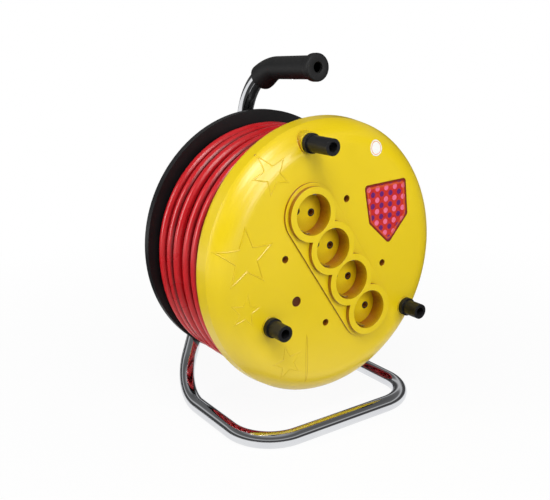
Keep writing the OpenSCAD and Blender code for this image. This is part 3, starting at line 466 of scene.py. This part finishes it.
inward = ELBOW_SHIFT * elbow_share(grip_s)
inward[-len(bore):] = 0
middle = handle_at(grip_s)
turn = np.maximum(grip_s - bend_from, 0) / HANDLE_BEND_R + TILT
into_bend = np.stack([0 * turn, -np.sin(turn), -np.cos(turn)], -1)
t = np.linspace(0, 2 * np.pi, 64, endpoint=False)[None, :, None]
ring = np.cos(t) * np.array([1.0, 0, 0]) + np.sin(t) * into_bend[:, None]
grip_points = (middle + inward[:, None] * into_bend)[:, None] + grip_r[:, None, None] * ring
grip_mesh = grid_mesh("soft_grip", place(grip_points), join_rows=True, lengths=grip_s / 1000)
grip = new_piece("soft_grip", grip_mesh, "stand", "grip_plastic")
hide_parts("handle_grip", "grip_elbow")
print("grip from", np.round(grip_points[0, 0], 1), "to bend angle", ELBOW_START)

# %% [markdown]
# ## Moulded stars
# Thin raised lines draw stars on the cover. A line is a band that follows the star's outline: one
# parameter runs round the outline, and the other goes over the band and back under it. Each point
# is then dropped on the cover's profile, so a star bends over the rounded shoulder as a moulding does.
# %% Dish
FACE_Y, SHOULDER_R, SHOULDER_END = -90.6, 30.0, 148.3
SHOULDER_SWEEP = np.radians(64)
FACE_R = SHOULDER_END - SHOULDER_R * np.sin(SHOULDER_SWEEP)
LINE_ROOT, LINE_UNDERSIDE, WAIST_MEAN = 0.08, 0.6, 0.62


def dish_y(x, z):
    """The cover's outer surface: flat to FACE_R from the axle, and beyond it an arc of SHOULDER_R."""
    beyond = np.clip(np.hypot(x, z) - FACE_R, 0, SHOULDER_END - FACE_R)
    return FACE_Y + SHOULDER_R - np.sqrt(SHOULDER_R**2 - beyond**2)


def star_outline(radius, tip_angle, waist=0.42, per_edge=14):
    """Ten corners at equal angles, every second one at waist times the radius, with straight edges."""
    corner = np.arange(11)
    r = np.where(corner % 2 == 0, radius, waist * radius)
    a = np.radians(tip_angle + 36 * corner)
    p = np.stack([r * np.cos(a), r * np.sin(a)], -1)
    t = np.linspace(0, 1, per_edge, endpoint=False)[None, :, None]
    return (p[:-1, None] + t * (p[1:] - p[:-1])[:, None]).reshape(-1, 2)


def raised_line(name, outline, centre, width, rise):
    """A band round an outline. Across it, t runs from -1 to 1 and the height is rise times (1 - t^2), less
    the root that keeps its edges in the wall. Its underside lies in the wall too."""
    over = np.linspace(-1, 1, 7)
    under = np.linspace(0.9, -0.9, 3)
    across = np.concatenate([over, under])
    lift = np.concatenate([rise * (1 - over**2) - LINE_ROOT, np.full(len(under), -LINE_UNDERSIDE)])
    size = np.linalg.norm(outline, axis=1).max()
    xz = centre + outline[:, None] * (1 + across * width / 2 / (WAIST_MEAN * size))[None, :, None]
    x, z = xz[..., 0], xz[..., 1]
    y = dish_y(x, z) - lift[None]
    mesh = grid_mesh(name, place(np.stack([x, y, z], -1)), join_rows=True)
    new_piece(name, mesh, "drum", "yellow_plastic")


for name, at, r, tip_angle, width, rise in [
        ("star_large", (-111.5, 21.3), 31.0, 20.0, 3.0, 0.8),
        ("star_upper", (-80.0, 100.0), 20.0, 46.0, 2.4, 0.6),
        ("star_lower", (-113.0, -33.0), 17.0, 8.0, 2.2, 0.5),
        ("star_bottom", (-62.0, -100.0), 18.0, 30.0, 2.2, 0.5)]:
    raised_line(name, star_outline(r, tip_angle), np.array(at), width, rise)
RIB_HALF_WIDTH, RIB_HALF_LENGTH, RIB_AT = 1.2, 27.5, np.array([-37.7, -101.5])
turn = np.linspace(0, 2 * np.pi, 120, endpoint=False)
rib_outline = np.stack([RIB_HALF_WIDTH * np.cos(turn), RIB_HALF_LENGTH * np.sin(turn)], -1)
raised_line("low_rib", rib_outline, RIB_AT, 1.6, 0.35)

# %% [markdown]
# ## Printed film
# A film is stuck on the cover. Its outline is a plain pentagon with round corners, and it follows the
# cover's surface. Its print is made in the material.
# %% Printed film
DECAL_AT, FILM_THICKNESS = np.array([68.0, 46.0]), 0.3
FILM_CORNERS = np.array([[-31.0, 30.0], [28.0, 33.0], [33.0, -8.0], [6.0, -38.0], [-23.0, -12.0]])
FILM_CORNER_R, FILM_STEP = 4.0, 4.0
side_middle = (FILM_CORNERS[-1] + FILM_CORNERS[0]) / 2
film_route = [(side_middle, 0), *((corner, FILM_CORNER_R) for corner in FILM_CORNERS), (side_middle, 0)]
decal_outline = fill_in(rounded_route(film_route, 12.0), FILM_STEP)[:-1]


def cut_film(name, outline, centre, thickness):
    """A thin slab with a cut outline. In front, the share of the way from the middle to the outline grows
    with the row, and behind it shrinks again. The share is also the first number of the UV map."""
    share_out = np.array([0.02, 0.25, 0.5, 0.7, 0.8, 0.86, 0.9, 0.95, 1.0])
    shares = np.concatenate([share_out, share_out[::-4]])
    above = np.repeat([thickness, 0], [len(share_out), len(shares) - len(share_out)])
    xz = centre + shares[:, None, None] * outline
    y = dish_y(xz[..., 0], xz[..., 1]) - above[:, None]
    return grid_mesh(name, place(np.stack([xz[..., 0], y, xz[..., 1]], -1)), caps=True, lengths=shares)


film_mesh = cut_film("printed_film", decal_outline, DECAL_AT, FILM_THICKNESS)
film = new_piece("printed_film", film_mesh, "drum", "decal_print")
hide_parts("picture_decal")

# %% [markdown]
# ## Collars of the pin holes
# Each socket's floor has two holes with a shallow collar, which leads the pin in. The collar's dark colour is
# painted shade, for the shadow in the chamfer round each hole. A collar is a ring with a rounded profile. The
# eight rings differ only by their places, so one array holds them all.
# %% Collars
SOCKETS = np.array([[-35.176, 56.045], [-9.511, 17.269], [16.154, -21.507], [41.819, -60.282]])
PIN_LINE, PIN_PITCH, CUP_FLOOR_Y = np.radians(-11.1), 19.0, -80.4
pin_step = PIN_PITCH / 2 * np.array([np.cos(PIN_LINE), np.sin(PIN_LINE)])
pins = np.concatenate([SOCKETS + pin_step, SOCKETS - pin_step])
collar_profile = np.array([[2.62, 0.0], [2.62, -0.12], [3.3, -0.3], [3.9, -0.28], [4.2, -0.1], [4.2, 0.0]])
COLLAR_COLUMNS = 40
turn = np.linspace(0, 2 * np.pi, COLLAR_COLUMNS, endpoint=False)
one = np.stack([collar_profile[:, :1] * np.cos(turn), np.repeat(collar_profile[:, 1:], COLLAR_COLUMNS, 1),
                collar_profile[:, :1] * np.sin(turn)], -1)
collar_at = np.stack([pins[:, 0], np.full(len(pins), CUP_FLOOR_Y), pins[:, 1]], -1)
all_rings = one[None] + collar_at[:, None, None]
ring_quads, _ = grid_faces(len(collar_profile), COLLAR_COLUMNS, join_rows=True)
first_corner = np.arange(len(pins)) * len(collar_profile) * COLLAR_COLUMNS
quads = (ring_quads[None] + first_corner[:, None, None]).reshape(-1, 4)
corners = place(all_rings.reshape(-1, 3))
if enclosed(corners - corners.mean(0), quads) < 0:
    quads = quads[:, ::-1]
collar_mesh = bpy.data.meshes.new("pin_collars_painted_shade")
collar_mesh.from_pydata(corners, [], quads.tolist())
# The dark finish on the collars is painted shade round the pin holes.
new_piece("pin_collars_painted_shade", collar_mesh, "drum", "dark_plastic")

# %% [markdown]
# ## Shared effects
# Real finishes are never one flat value. Five small node groups make the changes that several finishes share:
# drift of colour, fine grain, worn edges, dust, and shade painted into the colour in hollows. Each one gives
# out a value, a colour or a normal, and the shader that uses it stays in the material.
# %% Node group helpers
def new_group(name, inputs, outputs):
    """Makes an empty shader node group, and gives it with the sockets that feed it and that it fills. Inputs
    and outputs are (name, socket type, default) rows."""
    group = bpy.data.node_groups.new(name, "ShaderNodeTree")
    for rows, direction in ((inputs, "INPUT"), (outputs, "OUTPUT")):
        for label, kind, default in rows:
            socket = group.interface.new_socket(
                name=label, in_out=direction, socket_type="NodeSocket" + kind)
            if default is not None:
                socket.default_value = default
    return group, group.nodes.new("NodeGroupInput").outputs, group.nodes.new("NodeGroupOutput").inputs


def node(tree, kind, settings=None, **inputs):
    """Adds a node. An input is a number, a colour or an output socket, and is named with _ for a space."""
    made = tree.nodes.new("ShaderNode" + kind)
    for key, value in (settings or {}).items():
        setattr(made, key, value)
    for key, value in inputs.items():
        socket = made.inputs[int(key[1:])] if key[1:].isdigit() else made.inputs[key.replace("_", " ")]
        if isinstance(value, bpy.types.NodeSocket):
            tree.links.new(value, socket)
        else:
            socket.default_value = value
    return made


def math_node(tree, operation, *values, clamp=False):
    """One Math node, as an output socket."""
    settings = {"operation": operation, "use_clamp": clamp}
    return node(tree, "Math", settings, **{f"i{k}": v for k, v in enumerate(values)}).outputs[0]


def ramp(tree, value, low, high, at_low=0.0, at_high=1.0):
    """Goes from at_low to at_high while the value goes from low to high, and stays level beyond them."""
    made = node(tree, "MapRange", Value=value, From_Min=low, From_Max=high, To_Min=at_low, To_Max=at_high)
    return made.outputs[0]


def mixed_in(tree, colour, mask, over):
    """Lays one plain colour over another where the mask is 1."""
    return node(tree, "Mix", {"data_type": "RGBA"}, i0=mask, i6=colour, i7=(*over, 1)).outputs[2]


# %% Drift of colour
drift, given, out = new_group(
    "colour_drift",
    [("Colour A", "Color", None), ("Colour B", "Color", None), ("Scale", "Float", 20.0),
     ("Vector", "Vector", None)],
    [("Colour", "Color", None), ("Value", "Float", None)])
cloud = node(drift, "TexNoise", Vector=given["Vector"], Scale=given["Scale"], Detail=3.0)
spread = ramp(drift, cloud.outputs[0], 0.3, 0.7)
mixed = node(drift, "Mix", {"data_type": "RGBA"}, i0=spread, i6=given["Colour A"], i7=given["Colour B"])
drift.links.new(mixed.outputs[2], out["Colour"])
drift.links.new(spread, out["Value"])

# %% Fine grain
grain, given, out = new_group(
    "fine_grain", [("Scale", "Float", 900.0), ("Coarse", "Float", 60.0), ("Vector", "Vector", None)],
    [("Height", "Float", None), ("Waviness", "Float", None)])
fine = node(grain, "TexNoise", Vector=given["Vector"], Scale=given["Scale"], Detail=2.0)
wide = node(grain, "TexNoise", Vector=given["Vector"], Scale=given["Coarse"], Detail=1.0)
grain.links.new(fine.outputs[0], out["Height"])
grain.links.new(wide.outputs[0], out["Waviness"])

# %% Worn edges
wear, given, out = new_group(
    "edge_wear", [("Radius", "Float", 0.0006), ("Wear", "Float", 0.5), ("Vector", "Vector", None)],
    [("Mask", "Float", None), ("Soft Normal", "Vector", None)])
soft = node(wear, "Bevel", {"samples": 4}, Radius=given["Radius"])
true_normal = node(wear, "NewGeometry").outputs["Normal"]
agree = node(wear, "VectorMath", {"operation": "DOT_PRODUCT"}, i0=soft.outputs[0], i1=true_normal)
edge = ramp(wear, agree.outputs["Value"], 0.995, 0.80)
broken = node(wear, "TexNoise", Vector=given["Vector"], Scale=140.0, Detail=4.0)
patchy = ramp(wear, broken.outputs[0], 0.42, 0.62)
masked = math_node(wear, "MULTIPLY", math_node(wear, "MULTIPLY", edge, patchy), given["Wear"], clamp=True)
wear.links.new(masked, out["Mask"])
wear.links.new(soft.outputs[0], out["Soft Normal"])

# %% Dust
dust, given, out = new_group(
    "settled_dust", [("Amount", "Float", 0.1), ("Vector", "Vector", None)], [("Mask", "Float", None)])
faces_up = node(dust, "SeparateXYZ", Vector=node(dust, "NewGeometry").outputs["Normal"])
level = ramp(dust, faces_up.outputs["Z"], 0.3, 1.0)
specks = node(dust, "TexNoise", Vector=given["Vector"], Scale=60.0, Detail=6.0)
lying = math_node(dust, "MULTIPLY", math_node(dust, "MULTIPLY", level, specks.outputs[0]),
                  given["Amount"], clamp=True)
dust.links.new(lying, out["Mask"])

# %% Painted shade in hollows
# This group paints shade into the colour. A point is in a hollow where near surfaces hide much of its
# surroundings. Walls says how much of the painted shade is kept off surfaces that face the front or the back,
# so that it lies on the walls.
hollow, given, out = new_group(
    "painted_hollow_shade", [("Reach", "Float", 0.02), ("Strength", "Float", 0.8), ("Walls", "Float", 1.0)],
    [("Mask", "Float", None)])
open_sky = node(hollow, "AmbientOcclusion", {"samples": 6}, Distance=given["Reach"])
closed = ramp(hollow, open_sky.outputs["AO"], 0.98, 0.75)
facing_y = node(hollow, "SeparateXYZ", Vector=node(hollow, "NewGeometry").outputs["Normal"])
flatness = ramp(hollow, math_node(hollow, "ABSOLUTE", facing_y.outputs["Y"]), 0.3, 0.85, 0.0, -1.0)
on_walls = math_node(hollow, "MULTIPLY_ADD", given["Walls"], flatness, 1.0)
shaded = math_node(hollow, "MULTIPLY", math_node(hollow, "MULTIPLY", closed, on_walls),
                   given["Strength"], clamp=True)
hollow.links.new(shaded, out["Mask"])
print("groups:", sorted(g.name for g in bpy.data.node_groups))

# %% [markdown]
# ## Finishes
# One function lays out what the moulded and the metal finishes have in common: colour from the drift group,
# shade painted in hollows as a darker colour, lighter worn edges, dust on what faces up, and a bump of grain
# on the softened normal. Each finish then has its own numbers: how glossy it is, how coarse its grain is and
# how much it wears.
# %% Finish builder
for packed_material in list(bpy.data.materials):
    bpy.data.materials.remove(packed_material)
FINISH = {}
DUST_COLOUR, PAINTED_SHADE_STRENGTH = (0.55, 0.52, 0.47), 0.9


def finish(name, colour_a, colour_b, rough, metallic=0.0, scale=25.0, grain_scale=900.0, bump=0.02,
           coarse=60.0, ripple=0.0, edge_radius=0.0005, wear_amount=0.3, worn=(0.6, 0.6, 0.6),
           dust_amount=0.05, specular=0.5, rough_drift=0.06, painted_shade_colour=None, reach=0.02, walls=1.0, print_on=None):
    """A material with its own shader and the shared groups round it. painted_shade_colour is the colour of
    the shade painted into hollows, and print_on is a function that draws a print over the colour. bump is the
    grain's depth in millimetres."""
    made = bpy.data.materials.new(name)
    made.use_nodes = True
    tree = made.node_tree
    shader = tree.nodes["Principled BSDF"]
    at = node(tree, "TexCoord").outputs["Object"]
    shade = node(tree, "Group", {"node_tree": drift}, Colour_A=(*colour_a, 1), Colour_B=(*colour_b, 1),
                 Scale=scale, Vector=at)
    texture = node(tree, "Group", {"node_tree": grain}, Scale=grain_scale, Coarse=coarse, Vector=at)
    edges = node(tree, "Group", {"node_tree": wear}, Radius=edge_radius, Wear=wear_amount, Vector=at)
    film_of_dust = node(tree, "Group", {"node_tree": dust}, Amount=dust_amount, Vector=at)
    colour = shade.outputs["Colour"]
    if print_on:
        colour = print_on(tree, at, colour)
    # Painted shade: where the surface lies in a hollow, the colour is darkened towards the given shade
    # colour.
    if painted_shade_colour:
        hidden = node(
            tree, "Group", {"node_tree": hollow}, Reach=reach, Strength=PAINTED_SHADE_STRENGTH, Walls=walls)
        colour = mixed_in(tree, colour, hidden.outputs["Mask"], painted_shade_colour)
    colour = mixed_in(tree, colour, edges.outputs["Mask"], worn)
    colour = mixed_in(tree, colour, film_of_dust.outputs["Mask"], DUST_COLOUR)
    tree.links.new(colour, shader.inputs["Base Color"])
    lowest = rough - rough_drift / 2
    roughness = math_node(tree, "MULTIPLY_ADD", shade.outputs["Value"], rough_drift, lowest)
    roughness = math_node(tree, "MULTIPLY_ADD", film_of_dust.outputs["Mask"], 0.5, roughness, clamp=True)
    tree.links.new(roughness, shader.inputs["Roughness"])
    height = math_node(tree, "MULTIPLY_ADD", texture.outputs["Waviness"], ripple, texture.outputs["Height"])
    bumped = node(tree, "Bump", Strength=1.0, Distance=bump / 1000, Height=height,
                  Normal=edges.outputs["Soft Normal"])
    tree.links.new(bumped.outputs[0], shader.inputs["Normal"])
    shader.inputs["Metallic"].default_value = metallic
    shader.inputs["Specular IOR Level"].default_value = specular
    FINISH[name] = made


# %% Plastics
YELLOW_A, YELLOW_B, YELLOW_WORN = (0.76, 0.555, 0.001), (0.80, 0.585, 0.001), (0.86, 0.70, 0.10)
# The deeper colours of the cover and the sockets are painted shade: orange-brown on the cup walls and in
# other hollows, and for the sockets also on the cup floor beside the walls.
finish("yellow_plastic", YELLOW_A, YELLOW_B, 0.30, scale=9.0, bump=0.004, ripple=5.0, coarse=28.0,
       wear_amount=0.15, worn=YELLOW_WORN, dust_amount=0.01, specular=0.8, painted_shade_colour=(0.30, 0.06, 0.001),
       reach=0.022)
finish("socket_plastic", YELLOW_A, YELLOW_B, 0.30, bump=0.006, wear_amount=0.1, worn=YELLOW_WORN,
       dust_amount=0.01, specular=0.35, painted_shade_colour=(0.25, 0.035, 0.001), reach=0.016, walls=0.6)
finish("black_plastic", (0.006, 0.006, 0.007), (0.010, 0.010, 0.011), 0.42, bump=0.03, grain_scale=700.0,
       wear_amount=0.2, worn=(0.05, 0.05, 0.05), dust_amount=0.02, specular=0.28)
finish("grip_plastic", (0.004, 0.004, 0.0045), (0.007, 0.007, 0.0075), 0.55, bump=0.08, grain_scale=1100.0,
       wear_amount=0.2, worn=(0.04, 0.04, 0.04), dust_amount=0.03, specular=0.3)
finish("dark_plastic", (0.022, 0.014, 0.010), (0.030, 0.019, 0.013), 0.5, wear_amount=0.1,
       worn=(0.12, 0.1, 0.08), specular=0.3)
finish("nylon", (0.82, 0.81, 0.76), (0.86, 0.85, 0.81), 0.45)
finish("button_red", (0.065, 0.016, 0.004), (0.085, 0.022, 0.005), 0.5, wear_amount=0.15,
       worn=(0.2, 0.06, 0.04), specular=0.25)
finish("plug_rubber", (0.014, 0.014, 0.015), (0.024, 0.024, 0.026), 0.62, bump=0.05, dust_amount=0.06,
       worn=(0.08, 0.08, 0.08))
print("plastics:", sorted(FINISH))

# %% Metals
finish("chrome_tube", (0.80, 0.81, 0.83), (0.74, 0.75, 0.78), 0.08, metallic=1.0, bump=0.0015,
       grain_scale=300.0, ripple=2.0, edge_radius=0.0, wear_amount=0.0, rough_drift=0.03, dust_amount=0.02)
finish("zinc_steel", (0.60, 0.61, 0.62), (0.52, 0.53, 0.56), 0.32, metallic=1.0, bump=0.01, wear_amount=0.2)
finish("axle_steel", (0.54, 0.55, 0.57), (0.48, 0.49, 0.52), 0.28, metallic=1.0, bump=0.01)
finish("nickel", (0.66, 0.64, 0.60), (0.58, 0.56, 0.52), 0.25, metallic=1.0, bump=0.005)
finish("brass", (0.70, 0.48, 0.18), (0.62, 0.42, 0.16), 0.30, metallic=1.0, bump=0.006)
print("with the metals:", len(FINISH))

# %% Cable and leads
# The cable's deeper colour is painted shade, between its turns and where it lies close to the drum.
finish("cable_red", (0.54, 0.007, 0.012), (0.64, 0.012, 0.018), 0.28, scale=14.0, bump=0.012,
       grain_scale=500.0, ripple=1.5, coarse=90.0, edge_radius=0.0002, wear_amount=0.0, dust_amount=0.02,
       specular=0.55, painted_shade_colour=(0.11, 0.001, 0.003), reach=0.008, walls=0.0)
finish("lead_brown", (0.16, 0.06, 0.025), (0.2, 0.08, 0.03), 0.35)
finish("lead_blue", (0.02, 0.10, 0.45), (0.03, 0.12, 0.5), 0.35)
finish("lead_green_yellow", (0.05, 0.35, 0.05), (0.75, 0.65, 0.05), 0.35, scale=300.0)
print("with the cable and leads:", len(FINISH))

# %% [markdown]
# ## Printed finishes
# The film has an orange-red ground with violet and pink dots in two even grids, and a thin border.
# The place within a grid's cell is what is left over when a coordinate is divided by the cell's
# width. The round label is white with a thin ring. Both prints are plain patterns.
# %% Prints
VIOLET, PINK, RING_COLOUR = (0.13, 0.018, 0.15), (0.78, 0.15, 0.28), (0.80, 0.32, 0.08)
ORANGE_LINE, DARK_LINE, LINE_BLUR = (0.62, 0.10, 0.015), (0.19, 0.018, 0.008), 0.03
DOT_CELL, DOT_R, DOT_BLUR = 0.0125, 0.0030, 0.0003
LABEL_AT, RING_R, RING_HALF_WIDTH = (52.35, 115.05), 0.0068, 0.0004


def near(tree, value, middle, half_width, soft=0.0002):
    """1 where a value lies within half_width of the middle, with a soft edge."""
    off = math_node(tree, "ABSOLUTE", math_node(tree, "SUBTRACT", value, middle))
    return ramp(tree, off, half_width + soft, half_width - soft)


def about(tree, at, centre):
    """Coordinates on the cover about a point, to the right and up, in metres."""
    origin = tuple(place([centre[0], 0, centre[1]]))
    moved = node(tree, "VectorMath", {"operation": "SUBTRACT"}, i0=at, i1=origin)
    split = node(tree, "SeparateXYZ", Vector=moved.outputs[0])
    return split.outputs["X"], split.outputs["Z"]


def distance(tree, right, up):
    """The root of the sum of both squares."""
    squares = math_node(tree, "MULTIPLY_ADD", right, right, math_node(tree, "MULTIPLY", up, up))
    return math_node(tree, "SQRT", squares)


def dots(tree, right, up, shift):
    """1 in round dots, one in the middle of each square cell. shift moves the grid by a share of a cell."""
    in_cell = []
    for value in (right, up):
        cells = math_node(tree, "MULTIPLY_ADD", value, 1 / DOT_CELL, shift)
        in_cell.append(math_node(tree, "SUBTRACT", math_node(tree, "FRACT", cells), 0.5))
    return near(tree, distance(tree, *in_cell), 0.0, DOT_R / DOT_CELL, DOT_BLUR / DOT_CELL)


def dot_print(tree, at, colour):
    """Violet and pink dots on the orange-red ground, and an orange and a dark line along the cut edge."""
    right, up = about(tree, at, DECAL_AT)
    colour = mixed_in(tree, colour, dots(tree, right, up, 0.0), VIOLET)
    colour = mixed_in(tree, colour, dots(tree, right, up, 0.5), PINK)
    outward = node(tree, "SeparateXYZ", Vector=node(tree, "TexCoord").outputs["UV"]).outputs["X"]
    colour = mixed_in(tree, colour, near(tree, outward, 0.87, 0.025, LINE_BLUR), ORANGE_LINE)
    return mixed_in(tree, colour, near(tree, outward, 1.0, 0.08, LINE_BLUR), DARK_LINE)


def ring_print(tree, at, colour):
    """A thin orange ring on white."""
    from_centre = distance(tree, *about(tree, at, LABEL_AT))
    return mixed_in(tree, colour, near(tree, from_centre, RING_R, RING_HALF_WIDTH), RING_COLOUR)


finish("decal_print", (0.50, 0.018, 0.022), (0.60, 0.035, 0.018), 0.28, scale=90.0, bump=0.002,
       wear_amount=0.0, dust_amount=0.0, specular=0.3, print_on=dot_print)
finish("label_white", (0.86, 0.86, 0.82), (0.90, 0.90, 0.87), 0.32, bump=0.002, wear_amount=0.0,
       dust_amount=0.0, specular=0.3, print_on=ring_print)
wanted = {row["slot"] for row in frame["record"]["materials"]}
print("finishes:", len(FINISH), "left over:", wanted - set(FINISH))

# %% [markdown]
# ## Dressing the solids
# The record says which slot each solid takes its finish from. A solid's mesh stays as it is, and
# only its material changes. New pieces take theirs by the same names.
# %% Assign finishes
slot_of = {row["node"]: row["material_slot"] for row in frame["record"]["subparts"]}
for name, solid in frame["nodes"].items():
    solid.data.materials.clear()
    solid.data.materials.append(FINISH[slot_of[name]])
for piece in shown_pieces():
    if "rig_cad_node" not in piece:
        piece.data.materials.append(FINISH[piece["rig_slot"]])
print("dressed:", len(frame["nodes"]), "solids and the new pieces")

# %% [markdown]
# ## Studio
# The floor is pale and catches the shadow. Seen straight, it and the world are lifted to white, as a
# lit paper roll is. Mirrored rays see a pattern of their own: dark bands on the floor and in the
# world, like the dark flags that a studio sets up, so that chrome shows its form.
# %% Studio helpers
def ray_kinds(tree):
    """Two masks: rays that come straight from the camera, and rays that a mirror or glass has turned."""
    kinds = node(tree, "LightPath").outputs
    turned = math_node(tree, "MAXIMUM", kinds["Is Glossy Ray"], kinds["Is Transmission Ray"])
    return kinds["Is Camera Ray"], turned


def one_of(tree, mask, where_0, where_1):
    """Shows one shader where the mask is 0 and the other where it is 1."""
    mix = node(tree, "MixShader", Fac=mask)
    tree.links.new(where_0.outputs[0], mix.inputs[1])
    tree.links.new(where_1.outputs[0], mix.inputs[2])
    return mix


WHITE = (1, 1, 1, 1)

# %% Floor
HALF_FLOOR = 30.0
floor_mesh = bpy.data.meshes.new("floor")
floor_corners = HALF_FLOOR * np.array([[-1, -1, 0], [1, -1, 0], [1, 1, 0], [-1, 1, 0]])
floor_mesh.from_pydata(floor_corners, [], [[0, 1, 2, 3]])
floor = bpy.data.objects.new("floor", floor_mesh)
bpy.context.scene.collection.objects.link(floor)
paper = bpy.data.materials.new("floor_paper")
paper.use_nodes = True
floor_mesh.materials.append(paper)

tree = paper.node_tree
shader = tree.nodes["Principled BSDF"]
shader.inputs["Base Color"].default_value = (0.86, 0.86, 0.86, 1)
shader.inputs["Roughness"].default_value = 0.9
shader.inputs["Specular IOR Level"].default_value = 0.1
straight, mirrored = ray_kinds(tree)
on_floor = node(tree, "TexCoord").outputs["Object"]
from_middle = node(tree, "VectorMath", {"operation": "LENGTH"}, i0=on_floor).outputs["Value"]
far = ramp(tree, from_middle, 0.15, 0.8, 0.94, 1.0)
white = node(tree, "Emission", Color=WHITE, Strength=1.0)
lifted = one_of(tree, math_node(tree, "MULTIPLY", straight, far), shader, white)

# %% Floor in mirrors
# Close to the middle the paper is bright, which gives the base its pale line. Further out it is dark.
# Far out at the left it is bright again, which gives upright chrome its pale stripe.
pale_near = ramp(tree, from_middle, 0.20, 0.34, 0.92, 0.05)
far_out = ramp(tree, from_middle, 0.90, 1.10, 0.0, 0.85)
across_floor = node(tree, "SeparateXYZ", Vector=on_floor)
at_left = ramp(tree, across_floor.outputs["X"], 0.15, -0.15, 0.12, 1.0)
seen_in_chrome = math_node(tree, "MULTIPLY_ADD", far_out, at_left, pale_near)
pattern = node(tree, "Emission", Color=WHITE, Strength=seen_in_chrome)
either = one_of(tree, mirrored, lifted, pattern)
tree.links.new(either.outputs[0], tree.nodes["Material Output"].inputs["Surface"])
print("floor:", 2 * HALF_FLOOR, "m wide,", len(tree.nodes), "nodes")

# %% World
world = bpy.data.worlds.new("studio")
bpy.context.scene.world = world
world.use_nodes = True
tree = world.node_tree
tree.nodes.clear()
straight, mirrored = ray_kinds(tree)
direction = node(tree, "SeparateXYZ", Vector=node(tree, "TexCoord").outputs["Generated"])
room = node(tree, "ValToRGB", Fac=direction.outputs["Z"])
steps = room.color_ramp.elements
steps[0].position, steps[0].color = 0.0, (0.10, 0.10, 0.10, 1)
steps[1].position, steps[1].color = 1.0, (0.40, 0.40, 0.41, 1)
for position, grey in ((0.15, 0.05), (0.33, 0.08), (0.43, 0.60), (0.54, 0.14), (0.80, 0.10)):
    steps.new(position).color = (grey, grey, grey, 1)
reflected = node(tree, "Background", Color=room.outputs[0], Strength=1.0)
ambient = node(tree, "Background", Color=WHITE, Strength=0.10)
backdrop = node(tree, "Background", Color=WHITE, Strength=1.0)
all_rays = one_of(tree, straight, one_of(tree, mirrored, ambient, reflected), backdrop)
tree.links.new(all_rays.outputs[0], node(tree, "OutputWorld").inputs[0])
print("world:", len(steps), "greys from the horizon up")

# %% [markdown]
# Four soft lamps light the reel, each aimed at the axle. The key and the upper one stand in front and
# make the highlight on the cover's shoulder. The high one fills from above, and the left one from
# the side and a little behind. Their mirror images would burn out on the chrome, so the tube is
# left out of their light and shows only the studio.
# %% Lamps
LAMPS = [    # name, place about the axle in mm, width and height in m, watts
    ("key_softbox", (330, -1378, 380), (0.6, 0.6), 6.6),
    ("upper_softbox", (-210, -1200, 800), (0.5, 0.5), 4.6),
    ("high_softbox", (-524, -700, 1165), (0.6, 0.5), 9.0),
    ("left_lamp", (-1500, 350, 500), (0.3, 1.0), 12.0)]
away_from_lamps = bpy.data.collections.new("away_from_lamps")
away_from_lamps.objects.link(tube)
away_from_lamps.collection_objects[0].light_linking.link_state = "EXCLUDE"
for name, at, size, watts in LAMPS:
    lamp = bpy.data.lights.new(name, "AREA")
    lamp.shape = "RECTANGLE"
    lamp.size, lamp.size_y = size
    lamp.energy = watts
    holder = bpy.data.objects.new(name, lamp)
    holder.location = place(at)
    holder.rotation_mode = "QUATERNION"
    holder.rotation_quaternion = Vector(at).to_track_quat("Z", "Y")
    bpy.context.scene.collection.objects.link(holder)
    holder.light_linking.receiver_collection = away_from_lamps
print("lamps:", [row[0] for row in LAMPS])

bpy.context.scene.view_settings.view_transform = "Standard"
